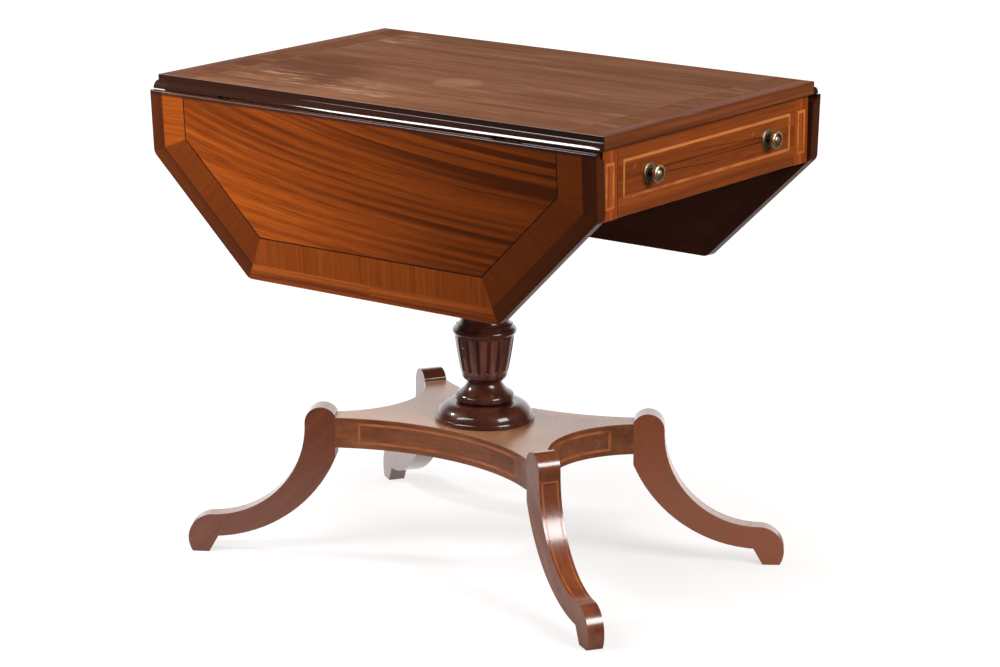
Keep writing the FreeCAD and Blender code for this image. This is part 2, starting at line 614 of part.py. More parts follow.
def build_column(pieces):
    """Add the turned column with its fluted vase, the bearer above it and the bolt below."""
    base = PLATFORM_TOP + BASE_HEIGHT
    bulb = base + BULB_HEIGHT
    neck = bulb + COVE_HEIGHT
    foot = neck + NECK_HEIGHT
    side = foot + VASE_FOOT_HEIGHT
    ring = side + VASE_HEIGHT
    fillet = ring + RING_HEIGHT
    cove = fillet + FILLET_HEIGHT
    shaft = cove + SHAFT_COVE_HEIGHT
    collar = FRIEZE_BOTTOM - COLLAR_HEIGHT
    flare = collar - COLLAR_COVE_HEIGHT
    bead = flare - BEAD_HEIGHT
    stations = [(0, PLATFORM_TOP - TENON_LENGTH), (TENON_RADIUS, PLATFORM_TOP - TENON_LENGTH, 0),
                (TENON_RADIUS, PLATFORM_TOP, 0), (BASE_RADIUS, PLATFORM_TOP, 0),
                (BASE_RADIUS, PLATFORM_TOP + BASE_RIM, BASE_RIM_CROWN),
                (BASE_RADIUS - BASE_STEP, PLATFORM_TOP + BASE_RIM, 0), (BASE_TOP_RADIUS, base, BASE_CROWN),
                (WAIST_RADIUS, base, 0), (BULB_TOP_RADIUS, bulb, BULB_CROWN),
                (NECK_RADIUS, neck, -COVE_CROWN), (NECK_RADIUS, foot, 0),
                (VASE_FOOT_RADIUS, side, VASE_FOOT_CROWN), (VASE_RADIUS, ring, VASE_CROWN),
                (VASE_RADIUS, fillet, RING_CROWN), (FILLET_RADIUS, fillet, 0), (FILLET_RADIUS, cove, 0),
                (SHAFT_RADIUS, shaft, -COVE_CROWN), (SHAFT_TOP_RADIUS, bead, 0), (BEAD_RADIUS, bead, 0),
                (BEAD_RADIUS, flare, BEAD_HEIGHT / 2), (SHAFT_TOP_RADIUS, flare, 0),
                (COLLAR_RADIUS, collar, -COVE_CROWN), (COLLAR_RADIUS, FRIEZE_BOTTOM, 0),
                (TENON_RADIUS, FRIEZE_BOTTOM, 0), (TENON_RADIUS, FRIEZE_BOTTOM + BEARER_HEIGHT, 0),
                (0, FRIEZE_BOTTOM + BEARER_HEIGHT, 0)]
    column = turned(stations)
    low = Vector(VASE_FOOT_RADIUS, 0, side)
    run = Vector(VASE_RADIUS, 0, ring) - low
    stand_off = Vector(run.z, 0, -run.x).normalize() * (FLUTE_RADIUS - FLUTE_DEPTH + VASE_CROWN)
    start = low + run * FLUTE_START_SHARE + stand_off
    end = low + run * FLUTE_END_SHARE + stand_off
    flute = rod(FLUTE_RADIUS, start, end)
    flute = flute.fuse([Part.makeSphere(FLUTE_RADIUS, point) for point in (start, end)])
    flutes = [turned_copy(flute, index * 360 / FLUTES) for index in range(FLUTES)]
    bolt_base = Vector(0, 0, PLATFORM_BOTTOM - WASHER_THICKNESS)
    bolt_tip = bolt_base + UP * COLUMN_BOLT_LENGTH
    bolt_hole = rod(COLUMN_BOLT_RADIUS + FIT, bolt_base - UP * OVERRUN, bolt_tip)
    pieces["column"] = column.cut(flutes).cut(bolt_hole)

    bearer = box(-RAIL_INNER, RAIL_INNER, -BEARER_WIDTH / 2, BEARER_WIDTH / 2,
                 FRIEZE_BOTTOM, FRIEZE_BOTTOM + BEARER_HEIGHT)
    mortise = Part.makeCylinder(TENON_RADIUS + FIT, BEARER_HEIGHT + OVERRUN * 2,
                                Vector(0, 0, FRIEZE_BOTTOM - OVERRUN))
    pieces["column_bearer"] = bearer.cut(mortise)

    corners = [FreeCAD.Rotation(UP, index * 360 / COLUMN_BOLT_SIDES).multVec(ACROSS * COLUMN_BOLT_HEAD_RADIUS)
               for index in range(COLUMN_BOLT_SIDES)]
    head = Part.Face(Part.makePolygon(corners + corners[:1])).extrude(UP * -COLUMN_BOLT_HEAD)
    head.translate(bolt_base)
    pieces["column_bolt"] = rod(COLUMN_BOLT_RADIUS, bolt_base, bolt_tip).fuse(head).removeSplitter()
    washer = Part.makeCylinder(WASHER_RADIUS, WASHER_THICKNESS, bolt_base)
    pieces["column_washer"] = washer.cut(bolt_hole)
    return bolt_hole


def arm_corners(angle):
    """Return the two corners of a platform arm's end, in the order of going round."""
    out = Vector(math.cos(math.radians(angle)), math.sin(math.radians(angle)), 0)
    side = Vector(-out.y, out.x, 0) * (LEG_WIDTH / 2)
    return out * ARM_RADIUS - side, out * ARM_RADIUS + side


def skin_face(arc, trim):
    """Return the thin face just inside a hollow curve, its ends trimmed by a length."""
    outer = [arc.valueAt(arc.getParameterByLength(length))
             for length in (trim, arc.Length / 2, arc.Length - trim)]
    inner = [point + (point - arc.Curve.Center).normalize() * VENEER for point in outer]
    edges = [arc_edge(*outer), Part.makeLine(outer[2], inner[2]), arc_edge(*inner[::-1]),
             Part.makeLine(inner[0], outer[0])]
    return Part.Face(Part.Wire(edges))


def concave_line(arc):
    """Return the inlaid rectangle of one concave side, following its curve."""
    low = PLATFORM_BOTTOM + PLATFORM_LINE_EDGE
    high = PLATFORM_TOP - PLATFORM_LINE_EDGE

    def band(trim):
        """Return a skin over the side, its edges trimmed by a width."""
        skin = skin_face(arc, PLATFORM_LINE_END + trim).extrude(UP * (high - low - trim * 2))
        skin.translate(UP * (low + trim))
        return skin

    return band(0).cut(band(PANEL_LINE))


def build_platform(pieces, bolt_hole):
    """Add the platform with four concave sides and their inlaid lines."""
    arms = [LEG_ANGLE, 180 - LEG_ANGLE, 180 + LEG_ANGLE, -LEG_ANGLE]
    waists = [Vector(0, WAIST_Y, 0), Vector(-WAIST_X, 0, 0), Vector(0, -WAIST_Y, 0), Vector(WAIST_X, 0, 0)]
    ends = [arm_corners(angle) for angle in arms]
    edges = []
    lines = []
    for index, (first, second) in enumerate(ends):
        following = ends[(index + 1) % len(ends)][0]
        edges.append(Part.makeLine(first, second))
        edges.append(arc_edge(second, waists[index], following))
        lines.append(concave_line(edges[-1]))
    slab = Part.Face(Part.Wire(edges)).extrude(UP * PLATFORM_THICKNESS)
    slab.translate(UP * PLATFORM_BOTTOM)
    mortise = Part.makeCylinder(TENON_RADIUS + FIT, TENON_LENGTH + OVERRUN,
                                Vector(0, 0, PLATFORM_TOP - TENON_LENGTH))
    dowels = [rod(DOWEL_RADIUS + FIT, start, end) for start, end in dowel_places()]
    dowels = [turned_copy(dowel, angle) for angle in arms for dowel in dowels]
    pieces["platform"] = slab.cut(lines + [mortise, bolt_hole] + dowels)
    pieces["platform_stringing"] = Part.makeCompound(lines)


def dowel_places():
    """Return the ends of a leg's dowels, the leg lying along +X."""
    inner = ARM_RADIUS - DOWEL_LENGTH / 2
    outer = ARM_RADIUS + DOWEL_LENGTH / 2
    return [(Vector(inner, 0, z), Vector(outer, 0, z))
            for z in (PLATFORM_BOTTOM + DOWEL_MARGIN, PLATFORM_TOP - DOWEL_MARGIN)]


def leg_point(shares):
    """Return a point of the leg's outline from its shares of run and height."""
    return Vector(ARM_RADIUS + shares[0] * (LEG_REACH - ARM_RADIUS), 0, shares[1] * LEG_HEIGHT)


def leg_plan(inset):
    """Return the leg's tapered plan, its long sides moved in by inset, run on past toe and crest."""
    taper = (LEG_WIDTH - TOE_WIDTH) / (LEG_REACH - ARM_RADIUS) / 2
    end = LEG_REACH + OVERRUN
    root = LEG_WIDTH / 2 - inset
    tip = TOE_WIDTH / 2 - taper * OVERRUN - inset
    return prism([(ARM_RADIUS, -root), (end, -tip), (end, tip), (ARM_RADIUS, root)], 0, LEG_HEIGHT + OVERRUN)


def build_legs(pieces):
    """Add the sabre legs, their inlaid lines and their dowels."""
    crest_back, shoulder, sweep, instep, toe = [leg_point(shares) for shares in (
        CREST_BACK_SHARES, SHOULDER_SHARES, SWEEP_SHARES, INSTEP_SHARES, TOE_SHARES)]
    sole, heel, calf, knee = [leg_point(shares) for shares in (
        SOLE_SHARES, HEEL_SHARES, CALF_SHARES, KNEE_SHARES)]
    arc = arc_edge(shoulder, sweep, instep)
    leave = arc.tangentAt(arc.FirstParameter) * -1
    arrive = arc.tangentAt(arc.LastParameter)
    edges = [arc, tangent_edge(instep, arrive, toe), Part.makeLine(toe, sole), Part.makeLine(sole, heel),
             arc_edge(heel, calf, knee), Part.makeLine(knee, crest_back),
             tangent_edge(shoulder, leave, crest_back)]
    profile = Part.Face(Part.Wire(Part.__sortEdges__(edges)))
    blank = profile.extrude(ALONG * LEG_WIDTH)
    blank.translate(ALONG * (-LEG_WIDTH / 2))
    leg = blank.common(leg_plan(0))

    def skin(trim):
        """Return a skin under the swept face, its ends trimmed by a length."""
        sheet = skin_face(arc, LEG_LINE_END + trim).extrude(ALONG * LEG_WIDTH)
        sheet.translate(ALONG * (-LEG_WIDTH / 2))
        return sheet.common(leg_plan(LEG_LINE_SIDE + trim))

    line = skin(0).cut(skin(LEG_LINE_WIDTH))
    places = dowel_places()
    leg = leg.cut([line] + [rod(DOWEL_RADIUS + FIT, start, end) for start, end in places])
    dowels = [rod(DOWEL_RADIUS, start, end) for start, end in places]
    corners = {"back_right": LEG_ANGLE, "back_left": 180 - LEG_ANGLE,
               "front_left": 180 + LEG_ANGLE, "front_right": -LEG_ANGLE}
    for corner, angle in corners.items():
        pieces["leg_" + corner] = turned_copy(leg, angle)
    pieces["leg_stringing"] = Part.makeCompound([turned_copy(line, angle) for angle in corners.values()])
    pieces["leg_dowels"] = Part.makeCompound(
        [turned_copy(dowel, angle) for angle in corners.values() for dowel in dowels])


def build():
    """Return every piece of the table by name."""
    pieces = {}
    plate, flap, pin, top_pocket, leaf_pocket = hinge_parts()
    build_top(pieces, top_pocket)
    build_leaves(pieces, flap, leaf_pocket)
    pieces["hinge_plate_right"] = on_axis(at_hinges(plate))
    pieces["hinge_plate_left"] = mirrored(pieces["hinge_plate_right"])
    pins = on_axis(at_hinges(pin))
    pieces["hinge_pins"] = Part.makeCompound(pins.Solids + mirrored(pins).Solids)
    build_frieze(pieces)
    build_fly(pieces)
    build_drawer(pieces)
    build_knobs(pieces)
    bolt_hole = build_column(pieces)
    build_platform(pieces, bolt_hole)
    build_legs(pieces)
    return pieces


os.makedirs("parts", exist_ok=True)
for node, shape in build().items():
    shape.exportStep("parts/" + node + ".step")
    print(node, len(shape.Solids), round(shape.Volume), shape.isValid())
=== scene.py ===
"""Looks of a drop-leaf table: finishes for its solids, small fittings, studio light and camera.

All sizes are in metres, in the frame of the solids: floor at z = 0, drawer towards -Y, leaves at -X and +X.
"""
import logging
import math
from dataclasses import dataclass, field, replace
from enum import Enum
from typing import Callable, Dict, List, Optional, Sequence, Tuple, Union

import bpy
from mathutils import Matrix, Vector


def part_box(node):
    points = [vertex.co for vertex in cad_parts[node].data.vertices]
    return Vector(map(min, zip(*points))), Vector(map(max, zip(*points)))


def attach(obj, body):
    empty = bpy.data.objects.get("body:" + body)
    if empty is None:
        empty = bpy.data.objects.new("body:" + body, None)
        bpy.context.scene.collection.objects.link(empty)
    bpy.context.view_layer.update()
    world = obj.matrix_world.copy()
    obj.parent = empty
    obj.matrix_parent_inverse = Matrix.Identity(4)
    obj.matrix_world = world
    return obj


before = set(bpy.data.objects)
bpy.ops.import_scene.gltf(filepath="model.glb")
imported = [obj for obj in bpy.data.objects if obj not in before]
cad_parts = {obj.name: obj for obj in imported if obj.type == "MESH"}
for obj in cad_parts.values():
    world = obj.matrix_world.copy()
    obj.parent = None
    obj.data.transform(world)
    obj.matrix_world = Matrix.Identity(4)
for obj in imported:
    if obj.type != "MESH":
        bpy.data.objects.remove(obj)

LOG = logging.getLogger("table")
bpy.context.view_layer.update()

Colour = Tuple[float, float, float, float]
Spot = Tuple[float, float, float, float]
Span = Tuple[float, float, float]
Pair = Tuple[float, float]
Piece = bpy.types.Object

BLACK: Colour = (0.0, 0.0, 0.0, 1.0)
SIDES = (("left", -1), ("right", 1))
CORNERS = ("front_right", "front_left", "back_right", "back_left")

HALF_LENGTH = 0.394  # of the top, along Y
TOP_HEIGHT = 0.720
BOARD = 0.019
HINGE_X = 0.259
HINGE_Z = TOP_HEIGHT - BOARD
LEAF_WIDTH = 0.259
LEAF_END = 0.093
LEAF_CANT = 0.170
HANG_TILT = math.atan(0.0056 / 0.098)
LEG_ANGLE = math.radians(57.4)
KNOB_X = 0.146
KNOB_Z = 0.654
FRONT_FACE = 0.388  # end faces of the frieze, from the middle
MERGE = 0.00001  # points of a solid's mesh nearer than this are one
SHARP = math.radians(35)  # angle from which a solid's edge is eased


def srgb(*parts: float) -> Colour:
    """Turn a colour as seen on a screen into the linear colour of a shader.

    Args:
        parts: Red, green and blue, from 0 to 255.

    Returns:
        The linear colour, opaque.
    """
    shares = [part / 255 for part in parts]
    return (*(share / 12.92 if share <= 0.04045 else ((share + 0.055) / 1.055) ** 2.4 for share in shares), 1.0)


JOINT_POLISH_AND_SHADE = srgb(44, 22, 15)  # old polish on the rule joint; on the leaf's side it is painted shade in the joint


def math_method(operation: str, swapped: bool = False) -> Callable[..., "Wire"]:
    """Make a method of Wire that adds a Math node.

    Args:
        operation: What the node does.
        swapped: Whether the other value comes first.

    Returns:
        The method.
    """
    def method(wire: "Wire", other: "Link" = 0.0) -> "Wire":
        """Return the node's result."""
        first, second = (other, wire) if swapped else (wire, other)
        return wire.graph.add("ShaderNodeMath", {"operation": operation}, {0: first, 1: second})

    return method


class Wire:
    """A node's output that takes part in Python arithmetic; a comparison gives 1 or 0."""

    def __init__(self, graph: "Graph", socket: bpy.types.NodeSocket) -> None:
        """Keep the socket and the graph that it belongs to."""
        self.graph = graph
        self.socket = socket

    def out(self, name: str) -> "Wire":
        """Return another output of the same node."""
        return Wire(self.graph, self.socket.node.outputs[name])

    __add__ = math_method("ADD")
    __radd__ = math_method("ADD", swapped=True)
    __sub__ = math_method("SUBTRACT")
    __rsub__ = math_method("SUBTRACT", swapped=True)
    __mul__ = math_method("MULTIPLY")
    __rmul__ = math_method("MULTIPLY", swapped=True)
    __truediv__ = math_method("DIVIDE")
    __pow__ = math_method("POWER")
    __abs__ = math_method("ABSOLUTE")
    __lt__ = math_method("LESS_THAN")
    __gt__ = math_method("GREATER_THAN")
    least = math_method("MINIMUM")
    most = math_method("MAXIMUM")
    angle = math_method("ARCTAN2")
    cosine = math_method("COSINE")


Link = Union[Wire, float, Sequence[float]]
Inputs = Dict[Union[str, int], Link]


class Graph:
    """The nodes of one material or world."""

    def __init__(self, owner: Union[bpy.types.Material, bpy.types.World]) -> None:
        """Start an empty graph.

        Args:
            owner: The material or world that it belongs to.
        """
        owner.use_nodes = True
        self.tree = owner.node_tree
        self.tree.nodes.clear()

    def add(self, kind: str, settings: Optional[Dict[str, object]] = None,
            inputs: Optional[Inputs] = None, output: Union[str, int] = 0) -> Wire:
        """Add a node.

        Args:
            kind: The node's type.
            settings: Its settings, set first.
            inputs: Values or wires for its sockets, by name or number.
            output: The output that is wanted.

        Returns:
            That output, or the node's first input where it has no outputs.
        """
        node = self.tree.nodes.new(kind)
        for key, value in (settings or {}).items():
            setattr(node, key, value)
        for key, value in (inputs or {}).items():
            if isinstance(value, Wire):
                self.tree.links.new(value.socket, node.inputs[key])
            else:
                node.inputs[key].default_value = value
        return Wire(self, node.outputs[output] if len(node.outputs) else node.inputs[0])

    def point(self) -> Wire:
        """Return the place on the piece, in metres."""
        return self.add("ShaderNodeTexCoord", output="Object")

    def split(self, vector: Wire) -> Tuple[Wire, Wire, Wire]:
        """Return the three parts of a vector."""
        first = self.add("ShaderNodeSeparateXYZ", inputs={0: vector})
        return first, first.out("Y"), first.out("Z")

    def join(self, x: Link, y: Link, z: Link) -> Wire:
        """Return a vector from its parts."""
        return self.add("ShaderNodeCombineXYZ", inputs={0: x, 1: y, 2: z})

    def noise(self, lie: Wire, stretch: Span, detail: float = 2.0, roughness: float = 0.5) -> Wire:
        """Return soft noise.

        Args:
            lie: The vector that it varies with.
            stretch: Noise cells to a metre along each part of that vector.
            detail: Finer octaves.
            roughness: Strength of the finer octaves.

        Returns:
            Values about 0.5.
        """
        scaled = self.add("ShaderNodeVectorMath", {"operation": "MULTIPLY"}, {0: lie, 1: stretch})
        return self.add("ShaderNodeTexNoise", inputs={
            "Vector": scaled, "Scale": 1.0, "Detail": detail, "Roughness": roughness})

    def ease(self, value: Wire, low: float, high: float) -> Wire:
        """Return a smooth rise from 0 at low to 1 at high."""
        return self.add("ShaderNodeMapRange", {"interpolation_type": "SMOOTHSTEP"},
                        {"Value": value, "From Min": low, "From Max": high})

    def mix(self, share: Link, first: Link, second: Link) -> Wire:
        """Return a mix of two colours, with that share of the second."""
        return self.add("ShaderNodeMix", {"data_type": "RGBA"}, {0: share, 6: first, 7: second}, output=2)

    def ramp(self, value: Wire, stops: Sequence[Tuple[float, Colour]]) -> Wire:
        """Return a colour from a ramp.

        Args:
            value: The place on the ramp.
            stops: The ramp's places and colours.

        Returns:
            The colour.
        """
        colour = self.add("ShaderNodeValToRGB", inputs={0: value})
        elements = colour.socket.node.color_ramp.elements
        while len(elements) < len(stops):
            elements.new(1.0)
        for element, stop in zip(elements, stops):
            element.position, element.color = stop
        return colour


@dataclass
class Surface:
    """What a finish makes of one place on a piece."""

    colour: Wire
    roughness: Link
    height: Optional[Wire] = None
    coat: Link = 0.0
    metallic: Link = 0.0

    def tint(self, share: Link, colour: Link) -> None:
        """Mix that share of another colour in."""
        self.colour = self.colour.graph.mix(share, self.colour, colour)


@dataclass(frozen=True)
class Finish:
    """A finish and the parts of it that are the same all over."""

    name: str
    coat_roughness: float = 0.06
    coat_ior: float = 1.5
    specular: float = 0.35
    bump: float = 0.25
    bump_depth: float = 0.0004

    def surface(self, graph: Graph) -> Surface:
        """Return what the finish makes of a place on the piece."""
        raise NotImplementedError

    def material(self) -> bpy.types.Material:
        """Make the material, once.

        Returns:
            The material.
        """
        known = bpy.data.materials.get(self.name)
        if known is not None:
            return known
        material = bpy.data.materials.new(self.name)
        graph = Graph(material)
        made = self.surface(graph)
        inputs: Inputs = {
            "Base Color": made.colour, "Roughness": made.roughness, "Metallic": made.metallic,
            "Coat Weight": made.coat, "Coat Roughness": self.coat_roughness,
            "Coat IOR": self.coat_ior, "Specular IOR Level": self.specular}
        if made.height is not None:
            inputs["Normal"] = graph.add("ShaderNodeBump", None, {
                "Strength": self.bump, "Distance": self.bump_depth, "Height": made.height}, output="Normal")
        shader = graph.add("ShaderNodeBsdfPrincipled", None, inputs)
        graph.add("ShaderNodeOutputMaterial", None, {"Surface": shader})
        return material

    def put_on(self, *names: str, ease: float = 0.0, arris: Optional["Finish"] = None) -> None:
        """Dress solids in this finish.

        Args:
            names: The solids' names.
            ease: Width by which their sharp edges are rounded, or 0.
            arris: Finish of the rounded edges, where it is another.
        """
        for name in names:
            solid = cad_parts[name]
            solid.data.materials.clear()
            solid.data.materials.append(self.material())
            if ease > 0:
                bevel = self._ease_edges(solid, ease)
                if arris is not None:
                    solid.data.materials.append(arris.material())
                    bevel.material = 1
            LOG.info("dressed %s in %s", name, self.name)

    @staticmethod
    def _ease_edges(solid: Piece, width: float) -> bpy.types.BevelModifier:
        """Round a solid's sharp edges.

        Args:
            solid: The solid.
            width: Width of the bevel.

        Returns:
            The bevel.
        """
        weld = solid.modifiers.new("weld", "WELD")
        weld.merge_threshold = MERGE
        bevel = solid.modifiers.new("eased_edges", "BEVEL")
        bevel.width = width
        bevel.segments = 2
        bevel.limit_method = "ANGLE"
        bevel.angle_limit = SHARP
        solid.modifiers.new("even_shading", "WEIGHTED_NORMAL")
        return bevel


class Grain(Enum):
    """The way that the grain runs in a straight piece: along, across and depth, as axes."""

    LENGTH = (1, 0, 2)
    LENGTH_UPRIGHT = (1, 2, 0)
    WIDTH = (0, 2, 1)
    WIDTH_FLAT = (0, 1, 2)
    HEIGHT = (2, 0, 1)


@dataclass(frozen=True)
class Timber(Finish):
    """Timber with stripe, growth lines, fibres and pores, under a polish."""

    dark: Colour = BLACK
    middle: Colour = BLACK
    light: Colour = BLACK
    run: Grain = Grain.LENGTH
    seed: float = 0.0
    stripe: float = 0.030
    wander: float = 0.012
    figure: float = 0.60
    growth: float = 0.26
    fibre: float = 0.14
    contrast: float = 1.0
    pores: float = 0.40
    roughness: float = 0.36
    coat: float = 0.70

    def lie(self, graph: Graph) -> Wire:
        """Lay the grain.

        Args:
            graph: The material's nodes.

        Returns:
            The place as (along the grain, across it, depth).
        """
        parts = graph.split(graph.point())
        along, across, depth = (parts[axis] for axis in self.run.value)
        return graph.join(along, across, depth + self.seed)

    def figured(self, graph: Graph, lie: Wire) -> Tuple[Wire, Wire, Wire]:
        """Lay the figure of the wood.

        Args:
            graph: The material's nodes.
            lie: Place as (along the grain, across it, depth).

        Returns:
            The colour, the pores as a mask, and the fibres.
        """
        along, across, depth = graph.split(lie)
        drift = graph.noise(lie, (1.9, 4.5, 4.5)) - 0.5
        wandered = graph.join(along, across + drift * (self.wander * 4), depth)
        wide = 1 / self.stripe
        stripe = graph.noise(wandered, (1.3, wide, wide), 2.0, 0.45)
        growth = graph.noise(wandered, (3.0, wide * 4.5, wide * 4.5))
        fibre = graph.noise(lie, (22.0, 1150.0, 1150.0), 1.0)
        tone = (stripe - 0.5) * self.figure + (growth - 0.5) * self.growth + (fibre - 0.5) * self.fibre
        tone = tone * (2.3 * self.contrast) + 0.5
        colour = graph.ramp(tone, ((0.12, self.dark), (0.5, self.middle), (0.88, self.light)))
        pore = graph.ease(graph.noise(lie, (120.0, 2300.0, 2300.0), 1.0), 0.60, 0.72)
        colour = graph.mix(pore * self.pores, colour, self.dark)
        return colour, pore, fibre

    def polished(self, graph: Graph, colour: Wire, pore: Wire, fibre: Wire) -> Surface:
        """Put the polish on a figured colour.

        Args:
            graph: The material's nodes.
            colour: The wood's colour.
            pore: The pores' mask.
            fibre: The fibres.

        Returns:
            The polished surface.
        """
        cloud = graph.noise(graph.point(), (9.0, 9.0, 9.0), 3.0)
        rough = (cloud - 0.5) * 0.22 + pore * 0.12 + self.roughness
        return Surface(colour, rough, fibre * 0.25 - pore, self.coat)

    def wear_and_painted_light(self, graph: Graph, made: Surface) -> None:
        """Change the polished wood as light, dirt and use have, and paint light and shade on it; plain timber
        stays as it is.
        """

    def surface(self, graph: Graph) -> Surface:
        """Return timber that is figured, polished and worn, with painted light and shade on some kinds.

        Args:
            graph: The material's nodes.

        Returns:
            The surface.
        """
        made = self.polished(graph, *self.figured(graph, self.lie(graph)))
        self.wear_and_painted_light(graph, made)
        return made


@dataclass(frozen=True)
class TopTimber(Timber):
    """The fixed top: duller from use, with pale rubs, a round bloom and a dark underside."""

    coat: float = 0.01
    coat_ior: float = 2.0
    specular: float = 0.0
    rub: Colour = srgb(172, 138, 108)
    under: Colour = srgb(50, 30, 20)
    bloom_place: Pair = (-0.058, 0.004)
    bloom_radius: float = 0.041
    rubs: Tuple[Spot, ...] = (
        (-0.160, 0.190, 0.055, 0.150), (0.190, 0.300, 0.060, 0.060), (-0.200, 0.060, 0.030, 0.060))
    stain: Spot = (-0.140, 0.270, 0.170, 0.170)

    @staticmethod
    def _patch(graph: Graph, x: Wire, y: Wire, spot: Spot) -> Wire:
        """Mask an oval spot.

        Args:
            graph: The material's nodes.
            x: Place across the top.
            y: Place along it.
            spot: The spot's place and its reach.

        Returns:
            1 inside the spot, falling to 0.
        """
        place_x, place_y, reach_x, reach_y = spot
        spread = ((x - place_x) * (1 / reach_x)) ** 2.0 + ((y - place_y) * (1 / reach_y)) ** 2.0
        return 1 - graph.ease(spread, 0.2, 1.2)

    def wear_and_painted_light(self, graph: Graph, made: Surface) -> None:
        """Put the marks of use on the top.

        Args:
            graph: The material's nodes.
            made: The polished wood, which is changed.
        """
        lie = self.lie(graph)
        x, y, z = graph.split(graph.point())
        face = graph.ease(z, TOP_HEIGHT - 0.0030, TOP_HEIGHT - 0.0006)
        worn = self._patch(graph, x, y, self.rubs[0])
        for spot in self.rubs[1:]:
            worn = worn.most(self._patch(graph, x, y, spot))
        cloud = graph.ease(graph.noise(lie, (9.0, 26.0, 26.0)), 0.30, 0.60)
        made.tint(self._patch(graph, x, y, self.stain) * cloud * face * 0.75, self.dark)
        streak = graph.ease(graph.noise(lie, (16.0, 130.0, 130.0), 3.0, 0.6), 0.50, 0.66)
        faint = graph.ease(graph.noise(lie, (7.0, 46.0, 46.0), 3.0, 0.6), 0.52, 0.75) * 0.25
        span = ((x - self.bloom_place[0]) ** 2.0 + (y - self.bloom_place[1]) ** 2.0) ** 0.5
        bloom = 1 - graph.ease(span, self.bloom_radius * 0.72, self.bloom_radius)
        mark = (worn * streak * 0.75).most(bloom * 0.26).most(faint) * face
        made.tint(mark, self.rub)
        below = 1 - graph.ease(z, HINGE_Z + 0.0004, HINGE_Z + 0.0016)
        made.tint(below * 0.85, self.under)
        joint = graph.ease(abs(x), HINGE_X - 0.0016, HINGE_X - 0.0004)
        made.tint(joint, JOINT_POLISH_AND_SHADE)
        made.roughness = made.roughness + mark * 0.18 + below * 0.25 - joint * 0.22
        made.coat = (1 - below) * (1 - mark * 0.5) * self.coat + joint * (1 - self.coat)


def leaf_place(graph: Graph) -> Tuple[Wire, Wire, Wire, Wire]:
    """Return the place on a hanging leaf.

    Args:
        graph: The material's nodes.

    Returns:
        Distance down from the hinge, place along the leaf, height over its inner face, and 1 on the
        right-hand leaf or 0 on the left.
    """
    x, y, z = graph.split(graph.point())
    sine = math.sin(HANG_TILT)
    cosine = math.cos(HANG_TILT)
    out = abs(x) - HINGE_X
    rise = z - HINGE_Z
    down = out * -sine - rise * cosine
    over = out * cosine - rise * sine
    return down, y, over, x > 0.0


@dataclass(frozen=True)
class LeafTimber(Timber):
    """Wood of a leaf, with a dark inner face, and old polish and painted shade along the joint."""

    roughness: float = 0.34
    coat: float = 0.06
    coat_roughness: float = 0.25
    specular: float = 0.05
    bump: float = 0.10
    under: Colour = srgb(58, 32, 24)
    under_roughness: float = 0.0
    inner_face: Pair = (0.0004, 0.0014)
    brow: Pair = (0.004675, 0.0085)  # the painted shade and dark polish in the joint end between these, down from the hinge

    def wear_and_painted_light(self, graph: Graph, made: Surface) -> None:
        """Darken the inner face, and paint shade with a dark polish in the joint.

        Args:
            graph: The material's nodes.
            made: The polished wood, which is changed.
        """
        down, _, over, _ = leaf_place(graph)
        inner = 1 - graph.ease(over, *self.inner_face)
        made.tint(inner * 0.92, self.under)
        # painted shade: the leaf's edge inside the rule joint is darkened, in the joint's polish colour under a
        # full coat
        brow = 1 - graph.ease(down, *self.brow)
        made.tint(brow * 0.85, JOINT_POLISH_AND_SHADE)
        made.roughness = made.roughness + inner * self.under_roughness
        made.coat = (1 - inner) * self.coat + brow * (1 - self.coat)


@dataclass(frozen=True)
class LeafField(LeafTimber):
    """The leaf's middle, with stripes that sweep down from one end and painted shade that deepens towards the
    drawer's end and the hinge.
    """

    sweep: float = 0.42
    sweep_back: float = 0.24
    fan: float = 3.0  # how fast the stripes level out, down the leaf
    shade_fall: float = 2.2
    shade_range: Pair = (-0.27, 0.39)  # the painted shade deepens between these

    def surface(self, graph: Graph) -> Surface:
        """Return the leaf's figured field, with painted shade.

        Args:
            graph: The material's nodes.

        Returns:
            The surface.
        """
        down, along, over, right = leaf_place(graph)
        run = HALF_LENGTH - along
        fall = (run * self.sweep - run * run * self.sweep_back) * (1 - down * self.fan)
        lie = graph.join(along, down - fall, over * 0.2 + right * 3.7 + self.seed)
        made = self.polished(graph, *self.figured(graph, lie))
        # painted shade: darker towards the drawer's end and towards the hinge, with the figure's dark bands
        # stronger there
        painted_shade = graph.ease(run - down * self.shade_fall, *self.shade_range)
        bands = graph.ease(graph.noise(lie, (1.1, 62.0, 62.0), 1.5), 0.46, 0.66)
        made.tint(bands * (painted_shade * 0.40 + 0.20) + painted_shade * 0.50, self.dark)
        self.wear_and_painted_light(graph, made)
        return made


